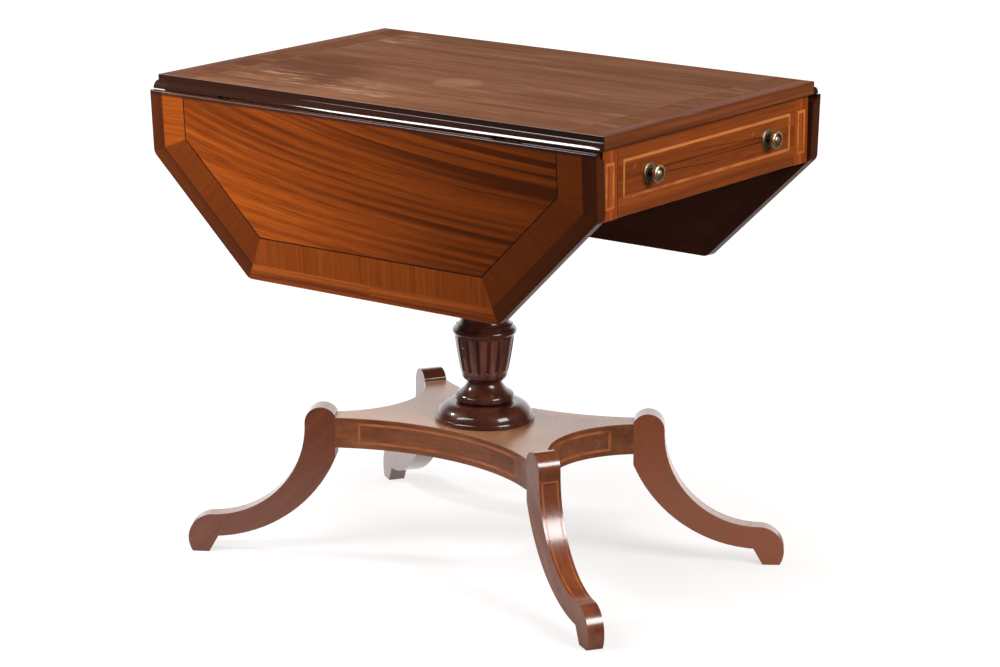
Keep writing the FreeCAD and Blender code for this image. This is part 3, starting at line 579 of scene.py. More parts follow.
@dataclass(frozen=True)
class LeafStrip(LeafTimber):
    """A strip round the leaf, cut for each side, its grain along the strip or across it."""

    across: bool = False
    end_share: float = 1.0
    end_shade: float = 0.0  # painted shade: less of that share at the drawer's end
    edge_share: float = 1.0
    cant_share: float = 1.0
    shade: Colour = BLACK

    def surface(self, graph: Graph) -> Surface:
        """Return the strips' wood, with painted shade that differs side by side.

        Args:
            graph: The material's nodes.

        Returns:
            The surface.
        """
        down, along, over, right = leaf_place(graph)
        fall = LEAF_WIDTH - LEAF_END
        length = math.hypot(fall, LEAF_CANT)
        step_down = fall / length
        step_back = LEAF_CANT / length
        from_end = HALF_LENGTH - abs(along)
        from_edge = LEAF_WIDTH - down
        from_cant = (LEAF_END - down) * step_back + from_end * step_down
        inset = from_end.least(from_edge).least(from_cant)
        on_end = from_end < from_edge.least(from_cant)
        on_edge = from_edge < from_end.least(from_cant)
        on_cant = (1 - on_end) * (1 - on_edge)
        down_cant = (down - LEAF_END) * step_down + from_end * step_back
        strip = on_end * down + on_edge * along + on_cant * down_cant
        piece = on_edge * 1.7 + on_cant * 3.1 + (along > 0.0) * 0.9 + right * 5.3 + over * 0.2 + self.seed
        lie = graph.join(inset, strip, piece) if self.across else graph.join(strip, inset, piece)
        made = self.polished(graph, *self.figured(graph, lie))
        # painted shade: each side's strips keep only a share of their colour, for the light that they catch,
        # with less at the drawer's end
        end = (along > 0.0) * self.end_shade + (self.end_share - self.end_shade)
        keep = on_end * end + on_edge * self.edge_share + on_cant * self.cant_share
        made.tint(1 - keep, self.shade)
        self.wear_and_painted_light(graph, made)
        return made


@dataclass(frozen=True)
class LegTimber(Timber):
    """A sabre leg, its grain running from crest to toe."""

    def lie(self, graph: Graph) -> Wire:
        """Lay the grain.

        Args:
            graph: The material's nodes.

        Returns:
            The place as (along the leg, across it, to its side).
        """
        x, y, z = graph.split(graph.point())
        out = abs(x) * math.cos(LEG_ANGLE) + abs(y) * math.sin(LEG_ANGLE)
        side = abs(y) * math.cos(LEG_ANGLE) - abs(x) * math.sin(LEG_ANGLE)
        leg = (x > 0.0) * 1.3 + (y > 0.0) * 2.9
        slope = math.sqrt(0.5)
        return graph.join((out - z) * slope, (out + z) * slope, side + leg + self.seed)

    def wear_and_painted_light(self, graph: Graph, made: Surface) -> None:
        """Paint shade on the back pair and light on the front right leg.

        Args:
            graph: The material's nodes.
            made: The polished wood, which is changed.
        """
        x, y, _ = graph.split(graph.point())
        back, right = y > 0.0, x > 0.0
        # painted shade on the back pair, painted light on the front right leg
        made.tint(back * (right * 0.35 + 0.55), self.dark)
        made.tint((1 - back) * right * 0.75, self.light)


@dataclass(frozen=True)
class PlatformTimber(Timber):
    """The platform, its upper face paled by a painted sheen."""

    painted_sheen: Colour = BLACK
    top: float = 0.2125

    def wear_and_painted_light(self, graph: Graph, made: Surface) -> None:
        """Paint a pale sheen on the upper face."""
        _, _, z = graph.split(graph.point())
        # painted sheen: the upper face is paled as if it mirrored the backdrop
        made.tint(graph.ease(z, self.top - 0.0010, self.top) * 0.7, self.painted_sheen)


@dataclass(frozen=True)
class ColumnTimber(Timber):
    """The turned column, with painted shade dark in its flutes."""

    flutes: int = 16
    foot: float = 0.2895
    crown: float = 0.3370
    fade: float = 0.003
    # colour of the painted shade in the flutes
    hollow: Colour = BLACK

    def wear_and_painted_light(self, graph: Graph, made: Surface) -> None:
        """Darken the plain turned parts, and paint shade in the flutes.

        Args:
            graph: The material's nodes.
            made: The polished wood, which is changed.
        """
        x, y, z = graph.split(graph.point())
        wave = (y.angle(x) * float(self.flutes)).cosine()
        above = graph.ease(z, self.foot - self.fade, self.foot)
        below = 1 - graph.ease(z, self.crown, self.crown + self.fade)
        flute = graph.ease(wave, 0.30, 0.85) * above * below
        vase_foot = graph.ease(z, self.foot - 0.010, self.foot - 0.004)
        turned = 1 - vase_foot * (1 - graph.ease(z, self.crown, self.crown + self.fade * 2))
        made.tint(turned * 0.6, self.dark)
        # painted shade in the flutes' hollows
        made.tint(flute * 0.6, self.hollow)
        made.coat = (1 - flute * 0.85) * self.coat
        made.roughness = made.roughness + flute * 0.3


@dataclass(frozen=True)
class InlayTimber(Timber):
    """A light inlaid line, pieced from short lengths that differ a little."""

    def wear_and_painted_light(self, graph: Graph, made: Surface) -> None:
        """Lighten some of the lengths."""
        pieced = graph.noise(graph.point(), (30.0, 30.0, 30.0), 0.0)
        made.tint(graph.ease(pieced, 0.35, 0.65) * 0.6, self.light)


@dataclass(frozen=True)
class WornArris(Finish):
    """A rubbed edge, where polish and colour have gone in places."""

    wood: Colour = BLACK
    bare: Colour = BLACK
    nick: Colour = BLACK

    def surface(self, graph: Graph) -> Surface:
        """Return the rubbed edge.

        Args:
            graph: The material's nodes.

        Returns:
            The surface.
        """
        point = graph.point()
        rubbed = graph.ease(graph.noise(point, (24.0, 24.0, 24.0), 3.0, 0.6), 0.36, 0.64)
        nicked = graph.ease(graph.noise(point, (90.0, 90.0, 90.0), 1.0), 0.70, 0.76)
        colour = graph.mix(rubbed, self.wood, self.bare)
        colour = graph.mix(nicked * 0.8, colour, self.nick)
        return Surface(colour, rubbed * 0.14 + 0.30, None, 0.5)


@dataclass(frozen=True)
class KnobBrass(Finish):
    """Old brass, bright where hands rub it, dark in its hollows, with painted shade on its rose next to the
    front.
    """

    bright: Colour = BLACK
    dull: Colour = BLACK
    tarnish_and_shade: Colour = BLACK
    dish: Spot = (0.0050, 0.0058, 0.0078, 0.0086)  # radii of its inner and outer slope
    dish_depth: Pair = (0.0160, 0.0170)  # heights over the front
    neck: Pair = (0.0060, 0.0100)
    neck_end: Pair = (0.0100, 0.0140)
    rose: Pair = (0.0030, 0.0050)

    def surface(self, graph: Graph) -> Surface:
        """Return the knob's brass.

        Args:
            graph: The material's nodes.

        Returns:
            The surface.
        """
        point = graph.point()
        x, y, z = graph.split(point)
        radius = ((abs(x) - KNOB_X) ** 2.0 + (z - KNOB_Z) ** 2.0) ** 0.5
        proud = abs(y) - FRONT_FACE
        ring = graph.ease(radius, *self.dish[:2]) * (1 - graph.ease(radius, *self.dish[2:]))
        dish = ring * graph.ease(proud, *self.dish_depth)
        neck = (1 - graph.ease(radius, *self.neck)) * (1 - graph.ease(proud, *self.neck_end))
        cloud = graph.noise(point, (160.0, 160.0, 160.0), 3.0, 0.6)
        spots = graph.ease(cloud, 0.46, 0.68)
        colour = graph.mix(spots, self.bright, self.dull)
        # tarnish in the dish and neck; painted shade on the rose next to the front
        rose = 1 - graph.ease(proud, *self.rose)
        dark = (dish * 0.9).most(neck * 0.85).most(rose * 0.55)
        colour = graph.mix(dark, colour, self.tarnish_and_shade)
        return Surface(colour, spots * 0.10 + dark * 0.2 + 0.38, cloud, 0.0, 1.0)


@dataclass(frozen=True)
class PlainMetal(Finish):
    """Metal of hinges, pins and screws, dulled in patches."""

    clean: Colour = BLACK
    stained: Colour = BLACK
    roughness: float = 0.38

    def surface(self, graph: Graph) -> Surface:
        """Return the metal.

        Args:
            graph: The material's nodes.

        Returns:
            The surface.
        """
        point = graph.point()
        patch = graph.ease(graph.noise(point, (110.0, 110.0, 110.0), 4.0, 0.6), 0.40, 0.66)
        drawn = graph.noise(point, (900.0, 60.0, 900.0), 1.0)
        colour = graph.mix(patch * 0.8, self.clean, self.stained)
        return Surface(colour, patch * 0.22 + self.roughness, drawn, 0.0, 1.0)


FIELD = LeafField(
    "leaf_mahogany", dark=srgb(74, 31, 8), middle=srgb(136, 61, 14), light=srgb(168, 83, 23),
    under=srgb(64, 36, 28), under_roughness=0.25, stripe=0.015, figure=0.36, growth=0.22, fibre=0.36,
    wander=0.006, seed=0.4)
BAND = LeafStrip(
    "leaf_crossband", dark=srgb(102, 44, 10), middle=srgb(138, 64, 15), light=srgb(160, 80, 22),
    across=True, stripe=0.006, figure=0.30, growth=0.30, fibre=0.30, wander=0.001, end_share=0.94,
    end_shade=0.5, edge_share=0.72, cant_share=0.25, shade=srgb(80, 35, 12), seed=1.1)
EDGE = LeafStrip(
    "leaf_edge_mahogany", dark=srgb(96, 42, 15), middle=srgb(148, 72, 24), light=srgb(176, 92, 34),
    stripe=0.012, wander=0.003, end_share=0.10, edge_share=0.95, cant_share=0.14, shade=srgb(56, 24, 12),
    coat=0.12, coat_roughness=0.20, specular=0.06, seed=2.3)
DARK_LINE = Timber(
    "ebonised_line", dark=srgb(20, 9, 5), middle=srgb(32, 14, 7), light=srgb(44, 20, 10), coat=0.2,
    specular=0.1, pores=0.2)
TOP_LINE = Timber(
    "top_dark_line", dark=srgb(40, 22, 14), middle=srgb(58, 33, 20), light=srgb(74, 44, 28), coat=0.05,
    specular=0.15, roughness=0.5, pores=0.2)
TOP = TopTimber(
    "top_mahogany", dark=srgb(92, 57, 40), middle=srgb(124, 82, 60), light=srgb(145, 100, 75), wander=0.006,
    figure=0.36, growth=0.28, fibre=0.22, roughness=0.52, seed=6.0)
TOP_BAND = TopTimber(
    "top_crossband", dark=srgb(92, 53, 34), middle=srgb(118, 74, 51), light=srgb(140, 92, 65), stripe=0.006,
    wander=0.001, figure=0.30, growth=0.30, roughness=0.52, seed=7.0)
TOP_EDGE = TopTimber(
    "top_edge_mahogany", dark=srgb(72, 34, 18), middle=srgb(108, 56, 30), light=srgb(138, 76, 42),
    rub=srgb(176, 142, 112), run=Grain.WIDTH_FLAT, stripe=0.016, wander=0.003, roughness=0.48,
    specular=0.02, seed=8.0)
FRIEZE = Timber(
    "frieze_mahogany", dark=srgb(96, 42, 11), middle=srgb(134, 62, 16), light=srgb(162, 82, 26),
    run=Grain.WIDTH, stripe=0.018, wander=0.005, figure=0.45, fibre=0.22, roughness=0.30, coat=0.5,
    specular=0.12, seed=9.0)
POSTS = Timber(
    "post_mahogany", dark=srgb(108, 46, 12), middle=srgb(148, 66, 17), light=srgb(178, 88, 27),
    run=Grain.HEIGHT, stripe=0.010, wander=0.002, figure=0.45, roughness=0.30, coat=0.5, specular=0.12,
    seed=10.0)
COLUMN = ColumnTimber(
    "column_mahogany", dark=srgb(48, 22, 14), middle=srgb(112, 58, 42), light=srgb(142, 80, 60),
    hollow=srgb(46, 21, 15), run=Grain.HEIGHT, stripe=0.018, wander=0.004, roughness=0.28, coat=0.8,
    coat_roughness=0.05, specular=0.2, bump=0.08, seed=11.0)
PLATFORM = PlatformTimber(
    "platform_mahogany", dark=srgb(88, 46, 26), middle=srgb(120, 68, 40), light=srgb(146, 90, 56),
    painted_sheen=srgb(186, 134, 96), stripe=0.024, wander=0.006, figure=0.40, roughness=0.28, coat=0.60,
    coat_roughness=0.20, specular=0.2, seed=12.0)
LEG = LegTimber(
    "leg_mahogany", dark=srgb(90, 42, 22), middle=srgb(126, 64, 36), light=srgb(150, 81, 47), stripe=0.016,
    wander=0.005, figure=0.36, fibre=0.20, roughness=0.28, coat=0.8, coat_roughness=0.19, coat_ior=1.75,
    bump=0.06, seed=13.0)
SATINWOOD = InlayTimber(
    "satinwood_line", dark=srgb(142, 70, 25), middle=srgb(174, 92, 36), light=srgb(206, 122, 55),
    run=Grain.WIDTH, stripe=0.008, wander=0.001, coat=0.6, seed=14.0)
FAINT_LINE = InlayTimber(
    "pedestal_line", dark=srgb(118, 60, 28), middle=srgb(150, 80, 38), light=srgb(182, 104, 54),
    stripe=0.008, wander=0.001, coat=0.7, seed=14.6)
LINING = Timber(
    "drawer_lining", dark=srgb(120, 84, 52), middle=srgb(160, 118, 76), light=srgb(186, 144, 98),
    run=Grain.LENGTH_UPRIGHT, stripe=0.020, wander=0.006, contrast=0.8, roughness=0.62, coat=0.0, seed=15.0)
CARCASE = replace(
    LINING, name="carcase_wood", dark=srgb(84, 52, 32), middle=srgb(120, 80, 50), light=srgb(148, 104, 66),
    stripe=0.022, roughness=0.66, seed=16.0)
CROSS_WOOD = replace(CARCASE, name="bearer_wood", run=Grain.WIDTH_FLAT, seed=17.0)
RUBBED = WornArris("rubbed_arris", wood=srgb(92, 46, 26), bare=srgb(156, 98, 62), nick=srgb(214, 178, 140))
BRASS = KnobBrass(
    "knob_brass", bright=srgb(232, 204, 164), dull=srgb(184, 150, 112), tarnish_and_shade=srgb(52, 38, 27), bump=0.05,
    bump_depth=0.0002)
HINGE_BRASS = PlainMetal("hinge_brass", clean=srgb(176, 142, 84), stained=srgb(96, 74, 42))
STEEL = PlainMetal("fitting_steel", clean=srgb(150, 148, 146), stained=srgb(86, 78, 72))


class Bench:
    """Modelling steps that the small fittings share."""

    CREASE = math.radians(30)  # angle from which a fitting's edge is bevelled
    ALIKE = 0.99  # cosine from which two directions count as the same

    @staticmethod
    def drum(radius: float, height: float, sides: int) -> Piece:
        """Start a piece from a drum that stands on the origin.

        Args:
            radius: Its radius.
            height: Its height.
            sides: Sides round it.

        Returns:
            The drum.
        """
        bpy.ops.object.select_all(action="DESELECT")
        bpy.ops.mesh.primitive_cylinder_add(vertices=sides, radius=radius, depth=height,
                                            location=(0, 0, height / 2))
        bpy.ops.object.transform_apply()
        return bpy.context.object

    @staticmethod
    def block(size: Span, middle: Span) -> Piece:
        """Start a piece from a block.

        Args:
            size: Its sizes along X, Y and Z.
            middle: Its middle.

        Returns:
            The block.
        """
        bpy.ops.object.select_all(action="DESELECT")
        bpy.ops.mesh.primitive_cube_add(size=1, location=middle)
        bpy.context.object.scale = size
        bpy.ops.object.transform_apply()
        return bpy.context.object

    @staticmethod
    def pick(piece: Piece) -> None:
        """Select a piece alone and make it active.

        Args:
            piece: The piece.
        """
        bpy.ops.object.select_all(action="DESELECT")
        piece.select_set(True)
        bpy.context.view_layer.objects.active = piece

    @staticmethod
    def edit_faces(piece: Piece, way: Span) -> None:
        """Go into edit mode with only the faces selected that look one way.

        Args:
            piece: The piece, active and in object mode.
            way: The way that the faces look.
        """
        bpy.context.tool_settings.mesh_select_mode = (False, False, True)
        bpy.ops.object.mode_set(mode="EDIT")
        bpy.ops.mesh.select_all(action="DESELECT")
        bpy.ops.object.mode_set(mode="OBJECT")
        for face in piece.data.polygons:
            face.select = face.normal.dot(Vector(way)) > Bench.ALIKE
        bpy.ops.object.mode_set(mode="EDIT")

    @staticmethod
    def soften(piece: Piece, width: float) -> None:
        """Bevel a piece's edges and shade its curved faces smooth.

        Args:
            piece: The piece, active and in object mode.
            width: Width of the bevel.
        """
        bevel = piece.modifiers.new("bevel", "BEVEL")
        bevel.width = width
        bevel.segments = 2
        bevel.limit_method = "ANGLE"
        bevel.angle_limit = Bench.CREASE
        bpy.ops.object.modifier_apply(modifier=bevel.name)
        bpy.ops.object.shade_smooth_by_angle(angle=Bench.CREASE)

    @staticmethod
    def fit(pattern: Piece, name: str, body: str, slot: str, finish: Finish,
            turn: Span, place: Span) -> None:
        """Fit a copy of a modelled piece.

        Args:
            pattern: The piece as modelled at the origin.
            name: Name of the copy.
            body: Body that it rides on.
            slot: Name of a material slot; not used.
            finish: Its finish.
            turn: Turn about X, Y and Z, in radians.
            place: Where its foot goes.
        """
        copy = pattern.copy()
        copy.data = pattern.data.copy()
        bpy.context.scene.collection.objects.link(copy)
        copy.rotation_euler = turn
        copy.location = place
        Bench.pick(copy)
        bpy.ops.object.transform_apply()
        copy.name = name
        copy.data.name = name
        copy.data.materials.clear()
        copy.data.materials.append(finish.material())
        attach(copy, body)
        LOG.info("fitted %s on %s", name, body)


@dataclass
class SlottedScrew:
    """The raised head of a slotted countersunk screw."""

    radius: float = 0.0032
    sink: float = 0.0012
    crown: float = 0.00035
    slot_width: float = 0.0008
    slot_depth: float = 0.0007
    sides: int = 32
    taper: float = 0.6
    steps: int = 3
    bevel: float = 0.00008

    def model(self) -> Piece:
        """Model one screw head.

        Returns:
            The head, its rim level with the origin and its crown up.
        """
        head = Bench.drum(self.radius, self.sink, self.sides)
        Bench.edit_faces(head, (0, 0, -1))
        bpy.ops.transform.resize(value=(self.taper, self.taper, 1))
        bpy.ops.object.mode_set(mode="OBJECT")
        Bench.edit_faces(head, (0, 0, 1))
        for _ in range(self.steps):
            bpy.ops.mesh.inset(thickness=self.radius * 0.2)
            bpy.ops.transform.translate(value=(0, 0, self.crown / self.steps))
        bpy.ops.mesh.select_all(action="SELECT")
        bpy.ops.transform.translate(value=(0, 0, -self.sink))
        bpy.ops.object.mode_set(mode="OBJECT")
        cutter = Bench.block((self.radius * 3, self.slot_width, self.slot_depth * 2), (0, 0, self.crown))
        Bench.pick(head)
        slot = head.modifiers.new("slot", "BOOLEAN")
        slot.object = cutter
        slot.operation = "DIFFERENCE"
        bpy.ops.object.modifier_apply(modifier=slot.name)
        bpy.data.objects.remove(cutter)
        Bench.soften(head, self.bevel)
        return head


@dataclass
class StemNut:
    """A hexagonal nut on its washer, round the end of a knob's stem."""

    across: float = 0.0112
    height: float = 0.0030
    washer_radius: float = 0.0078
    washer: float = 0.0012
    bore: float = 0.0030
    washer_sides: int = 40
    slope: float = 0.12  # of the washer's rim, as a share of its radius and of its thickness
    bevel: float = 0.0003

    def model(self) -> Piece:
        """Model one nut with its washer.

        Returns:
            The two as one piece, standing on the origin.
        """
        nut = Bench.drum(self.across / 2, self.height, 6)
        Bench.edit_faces(nut, (0, 0, 1))
        bpy.ops.mesh.inset(thickness=self.across * math.cos(math.pi / 6) / 2 - self.bore)
        bpy.ops.mesh.extrude_region_move(TRANSFORM_OT_translate={"value": (0, 0, -self.height / 3)})
        bpy.ops.mesh.select_all(action="SELECT")
        bpy.ops.transform.translate(value=(0, 0, self.washer))
        bpy.ops.object.mode_set(mode="OBJECT")
        Bench.soften(nut, self.bevel)
        ring = Bench.drum(self.washer_radius, self.washer, self.washer_sides)
        Bench.edit_faces(ring, (0, 0, 1))
        bpy.ops.mesh.inset(thickness=self.washer_radius * self.slope)
        bpy.ops.transform.translate(value=(0, 0, self.washer * self.slope))
        bpy.ops.object.mode_set(mode="OBJECT")
        Bench.soften(ring, self.bevel / 2)
        nut.select_set(True)
        bpy.ops.object.join()
        return ring


@dataclass
class GlueBlock:
    """A three-sided block that stiffens the corner of top and rail."""

    leg: float = 0.018
    length: float = 0.046
    cut: float = 0.56  # place of the sloping cut, as a share of a leg
    bevel: float = 0.0006

    def model(self) -> Piece:
        """Model one block.

        Returns:
            The block, in the corner below the origin and towards -X.
        """
        block = Bench.block((self.leg, self.length, self.leg), (-self.leg / 2, 0, -self.leg / 2))
        bpy.ops.object.mode_set(mode="EDIT")
        bpy.ops.mesh.select_all(action="SELECT")
        depth = self.leg * self.cut
        bpy.ops.mesh.bisect(plane_co=(-depth, 0, -depth), plane_no=(-1, 0, -1), use_fill=True,
                            clear_outer=True)
        bpy.ops.object.mode_set(mode="OBJECT")
        Bench.soften(block, self.bevel)
        return block


@dataclass
class TopAssembly:
    """The fixed top with its edgings, bands and lines."""

    def dress(self) -> None:
        """Dress the solids of the top."""
        TOP.put_on("top_panel")
        TOP_BAND.put_on("top_crossband")
        TOP_EDGE.put_on("top_edging")
        TOP_LINE.put_on("top_stringing")


@dataclass
class LeafAssembly:
    """One leaf, its strips, its hinge flaps and their screws."""

    side: str
    hinge_places: Pair = (-0.244, 0.244)
    screw_places: Tuple[Pair, ...] = ((0.016, -0.016), (0.016, 0.016), (0.035, 0.0))

    def dress(self) -> None:
        """Dress the solids of the leaf."""
        name = "leaf_" + self.side
        FIELD.put_on(name)
        BAND.put_on(name + "_crossband")
        EDGE.put_on(name + "_edging")
        DARK_LINE.put_on(name + "_stringing")
        HINGE_BRASS.put_on("hinge_flap_" + self.side, "hinge_plate_" + self.side)

    def fit_screws(self) -> None:
        """Screw the hinge flaps to the leaf."""
        hand = dict(SIDES)[self.side]
        pattern = SlottedScrew().model()
        turn = hand * (HANG_TILT - math.pi / 2)
        for hinge, middle in enumerate(self.hinge_places):
            for number, (down, along) in enumerate(self.screw_places):
                x = hand * (HINGE_X - down * math.sin(HANG_TILT))
                z = HINGE_Z - down * math.cos(HANG_TILT)
                Bench.fit(pattern, "leaf_%s_screw_%d%d" % (self.side, hinge + 1, number + 1),
                          "leaf_" + self.side, "steel", STEEL, (0, turn, 0), (x, middle + along, z))
        bpy.data.objects.remove(pattern)


@dataclass
class FriezeAssembly:
    """Posts, rails, dummy front, fly brackets and column bearer."""

    ease: float = 0.0005
    block_places: Tuple[float, ...] = (0.11, 0.21, 0.31)
    back_places: Tuple[float, ...] = (-0.09, 0.09)

    def dress(self) -> None:
        """Dress the solids of the frieze."""
        POSTS.put_on(*("post_" + corner for corner in CORNERS), ease=self.ease)
        FRIEZE.put_on("dummy_front", ease=self.ease)
        SATINWOOD.put_on("post_stringing", "dummy_stringing")
        BRASS.put_on("dummy_knob_left", "dummy_knob_right")
        for side, _ in SIDES:
            CARCASE.put_on("side_rail_" + side, "fly_rail_front_" + side, "fly_rail_back_" + side,
                           "fly_bracket_" + side, ease=self.ease)
        CROSS_WOOD.put_on("column_bearer", ease=self.ease)
        STEEL.put_on("fly_pins")
        HINGE_BRASS.put_on("hinge_pins")

    def fit_hardware(self) -> None:
        """Fit the nuts of the back knobs and the glue blocks under the top."""
        nut = StemNut().model()
        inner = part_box("dummy_front")[0].y
        for side, hand in SIDES:
            Bench.fit(nut, "dummy_nut_" + side, "table", "steel", STEEL,
                      (math.pi / 2, 0, 0), (hand * KNOB_X, inner, KNOB_Z))
        bpy.data.objects.remove(nut)
        block = GlueBlock().model()
        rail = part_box("side_rail_right")[0].x
        for side, hand in SIDES:
            turn = 0 if hand > 0 else math.pi
            for number, along in enumerate(self.block_places):
                Bench.fit(block, "glue_block_%s_%d" % (side, number + 1), "table", "lining", CARCASE,
                          (0, 0, turn), (hand * rail, along, HINGE_Z))
        for number, across in enumerate(self.back_places):
            Bench.fit(block, "glue_block_back_%d" % (number + 1), "table", "lining", CROSS_WOOD,
                      (0, 0, math.pi / 2), (across, inner, HINGE_Z))
        bpy.data.objects.remove(block)


@dataclass
class DrawerAssembly:
    """The drawer, its runners and stops."""

    ease: float = 0.0005
    screw_places: Tuple[float, ...] = (-0.12, 0.0, 0.12)

    def dress(self) -> None:
        """Dress the solids of the drawer and what it runs on."""
        FRIEZE.put_on("drawer_front", ease=self.ease, arris=RUBBED)
        SATINWOOD.put_on("drawer_stringing")
        BRASS.put_on("drawer_knob_right", "drawer_knob_left")
        LINING.put_on("drawer_side_right", "drawer_side_left", "drawer_back", "drawer_bottom",
                      "drawer_runner_right", "drawer_runner_left", "drawer_stops", ease=self.ease)

    def fit_hardware(self) -> None:
        """Fit the nuts of the knobs and the screws that hold the drawer's bottom."""
        nut = StemNut().model()
        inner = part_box("drawer_front")[1].y
        for side, hand in SIDES:
            Bench.fit(nut, "drawer_nut_" + side, "drawer", "steel", STEEL,
                      (-math.pi / 2, 0, 0), (hand * KNOB_X, inner, KNOB_Z))
        bpy.data.objects.remove(nut)
        screw = SlottedScrew().model()
        low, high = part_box("drawer_back")
        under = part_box("drawer_bottom")[0].z
        for number, across in enumerate(self.screw_places):
            Bench.fit(screw, "drawer_bottom_screw_%d" % (number + 1), "drawer", "steel", STEEL,
                      (math.pi, 0, 0), (across, (low.y + high.y) / 2, under))
        bpy.data.objects.remove(screw)


@dataclass
class PedestalAssembly:
    """Column, platform and legs."""

    ease: float = 0.0008

    def dress(self) -> None:
        """Dress the solids of the pedestal."""
        COLUMN.put_on("column")
        PLATFORM.put_on("platform", ease=self.ease)
        LEG.put_on(*("leg_" + corner for corner in CORNERS), ease=self.ease)
        FAINT_LINE.put_on("platform_stringing", "leg_stringing")
        LINING.put_on("leg_dowels")
        STEEL.put_on("column_bolt", "column_washer")


@dataclass
class SoftBox:
    """A soft light that faces a point."""

    name: str
    place: Span
    target: Span
    size: Pair
    power: float

    def light(self) -> None:
        """Set the light up."""
        lamp = bpy.data.lights.new(self.name, "AREA")
        lamp.shape = "RECTANGLE"
        lamp.size, lamp.size_y = self.size
        lamp.energy = self.power
        holder = bpy.data.objects.new(self.name, lamp)
        bpy.context.scene.collection.objects.link(holder)
        holder.location = self.place
        aim = Vector(self.target) - Vector(self.place)
        holder.rotation_euler = aim.to_track_quat("-Z", "Y").to_euler()


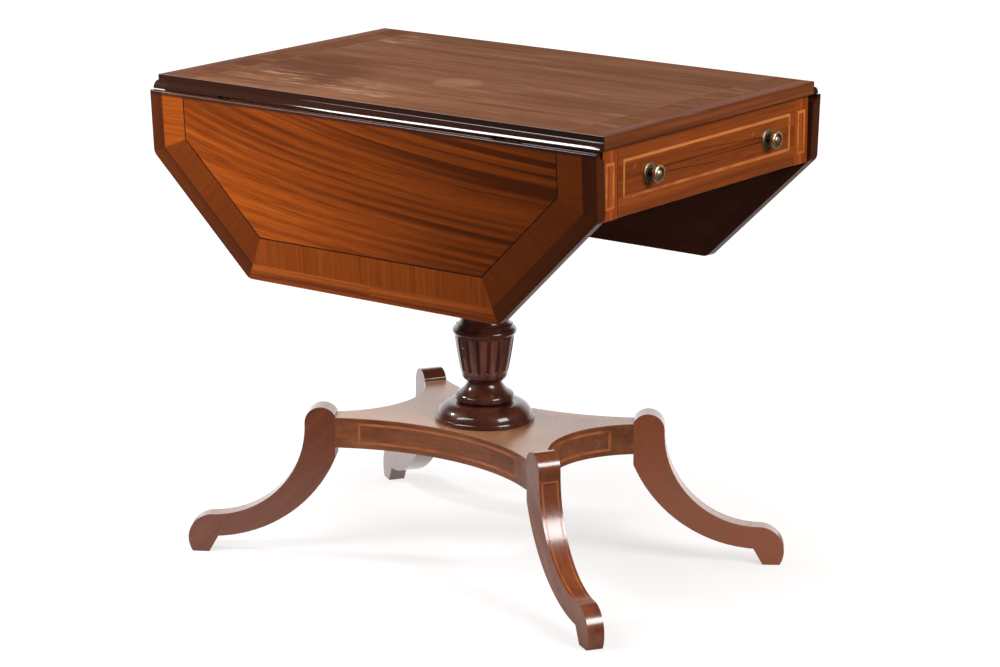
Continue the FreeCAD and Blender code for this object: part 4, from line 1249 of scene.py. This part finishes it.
@dataclass
class Studio:
    """White floor and backdrop, soft lights, and the camera."""

    floor_size: float = 60.0
    floor_drop: float = 0.0004
    dome: float = 0.60
    gloom: float = 0.04
    backdrop: float = 1.3
    bounce: float = 0.12
    paper: Colour = (0.94, 0.91, 0.90, 1.0)
    paper_seen: Colour = (1.13, 1.115, 1.11, 1.0)
    shade_reach: Pair = (0.38, 0.95)  # shadows fade out between these distances
    shade_share: float = 0.42
    cone: Pair = (0.45, 0.85)  # cosines where the backdrop begins
    low_sky: Pair = (0.35, 0.65)  # heights where it ends
    dome_rise: Pair = (0.25, 0.85)
    floor_start: Pair = (-0.9, -0.2)  # where it grows pale, from the camera
    middle: float = 0.3  # radius that is too near for a direction
    camera_place: Span = (-3.70597, -2.82831, 1.54543)
    camera_aim: Span = (0.77249, 0.58367, -0.25018)
    lens: float = 118.49
    sensor: float = 36.0
    boxes: List[SoftBox] = field(default_factory=lambda: [
        SoftBox("left_box", (-0.93, 0.43, 1.00), (-0.24, 0.82, 0.58), (1.10, 0.28), 11.5),
        SoftBox("end_box", (-0.80, 1.85, 1.70), (-0.20, 0.36, 0.30), (0.30, 0.30), 25.0),
        SoftBox("front_box", (-0.12, -1.85, 1.45), (-0.05, -0.35, 0.40), (0.9, 0.75), 28.0)])

    def set_up(self) -> None:
        """Set up floor, backdrop, lights and camera."""
        self._floor()
        self._world()
        for box in self.boxes:
            box.light()
        self._camera()
        bpy.context.scene.view_settings.view_transform = "Standard"

    @staticmethod
    def _seen(graph: Graph) -> Tuple[Wire, Wire]:
        """Return masks of camera rays and of glossy or see-through rays."""
        camera = graph.add("ShaderNodeLightPath", output="Is Camera Ray")
        return camera, camera.out("Is Glossy Ray").most(camera.out("Is Transmission Ray"))

    @staticmethod
    def _grey(level: float) -> Colour:
        """Return a grey of that level."""
        return (level, level, level, 1.0)

    def _floor(self) -> None:
        """Lay the pale floor."""
        bpy.ops.object.select_all(action="DESELECT")
        bpy.ops.mesh.primitive_plane_add(size=self.floor_size, location=(0, 0, -self.floor_drop))
        floor = bpy.context.object
        floor.name = "floor"
        material = bpy.data.materials.new("floor_paper")
        graph = Graph(material)
        camera, mirrored = self._seen(graph)
        x, y, _ = graph.split(graph.point())
        flat = Vector(self.camera_aim[:2]).normalized()
        span = (x * x + y * y) ** 0.5
        ahead = x * flat.x + y * flat.y
        behind = graph.ease(ahead / span.most(self.middle), *self.cone)
        glow = graph.mix(behind, self._grey(self.gloom), self._grey(self.backdrop))
        near = graph.ease(ahead, *self.floor_start)
        pale = graph.mix(camera.most(near), self._grey(self.bounce), self.paper)
        paper = graph.add("ShaderNodeBsdfDiffuse", None, {"Color": pale})
        white = graph.add("ShaderNodeEmission", None, {
            "Color": graph.mix(camera, glow, self.paper_seen), "Strength": 1.0})
        away = graph.ease(span, *self.shade_reach)
        share = camera.most(mirrored) * (away * self.shade_share + (1 - self.shade_share))
        shader = graph.add("ShaderNodeMixShader", None, {0: share, 1: paper, 2: white})
        graph.add("ShaderNodeOutputMaterial", None, {"Surface": shader})
        floor.data.materials.append(material)

    def _world(self) -> None:
        """Make the backdrop: white to the camera, and in reflections white behind the table."""
        world = bpy.data.worlds.new("studio")
        bpy.context.scene.world = world
        graph = Graph(world)
        camera, mirrored = self._seen(graph)
        ray = graph.add("ShaderNodeTexCoord", output="Generated")
        flat = Vector(self.camera_aim[:2]).normalized()
        east, north, rise = graph.split(ray)
        low = 1 - graph.ease(rise, *self.low_sky)
        behind = graph.ease(east * flat.x + north * flat.y, *self.cone) * low
        mirror = behind * (self.backdrop - self.gloom) + self.gloom
        dome = graph.ease(rise, *self.dome_rise) * self.dome + self.gloom
        level = (1 - camera) * (mirrored * mirror + (1 - mirrored) * dome) + camera
        colour = graph.join(level, level, level)
        shader = graph.add("ShaderNodeBackground", None, {"Color": colour, "Strength": 1.0})
        graph.add("ShaderNodeOutputWorld", None, {"Surface": shader})

    def _camera(self) -> None:
        """Place the camera."""
        camera = bpy.data.cameras.new("camera")
        camera.lens = self.lens
        camera.sensor_width = self.sensor
        camera.clip_end = 100.0
        holder = bpy.data.objects.new("camera", camera)
        bpy.context.scene.collection.objects.link(holder)
        holder.location = self.camera_place
        holder.rotation_euler = Vector(self.camera_aim).to_track_quat("-Z", "Y").to_euler()
        bpy.context.scene.camera = holder


def main() -> None:
    """Dress the table, fit its small hardware and set up the studio."""
    logging.basicConfig(level=logging.INFO, format="%(message)s")
    TopAssembly().dress()
    for side, _ in SIDES:
        leaf = LeafAssembly(side)
        leaf.dress()
        leaf.fit_screws()
    frieze = FriezeAssembly()
    frieze.dress()
    frieze.fit_hardware()
    drawer = DrawerAssembly()
    drawer.dress()
    drawer.fit_hardware()
    PedestalAssembly().dress()
    Studio().set_up()


if __name__ == "__main__":
    main()
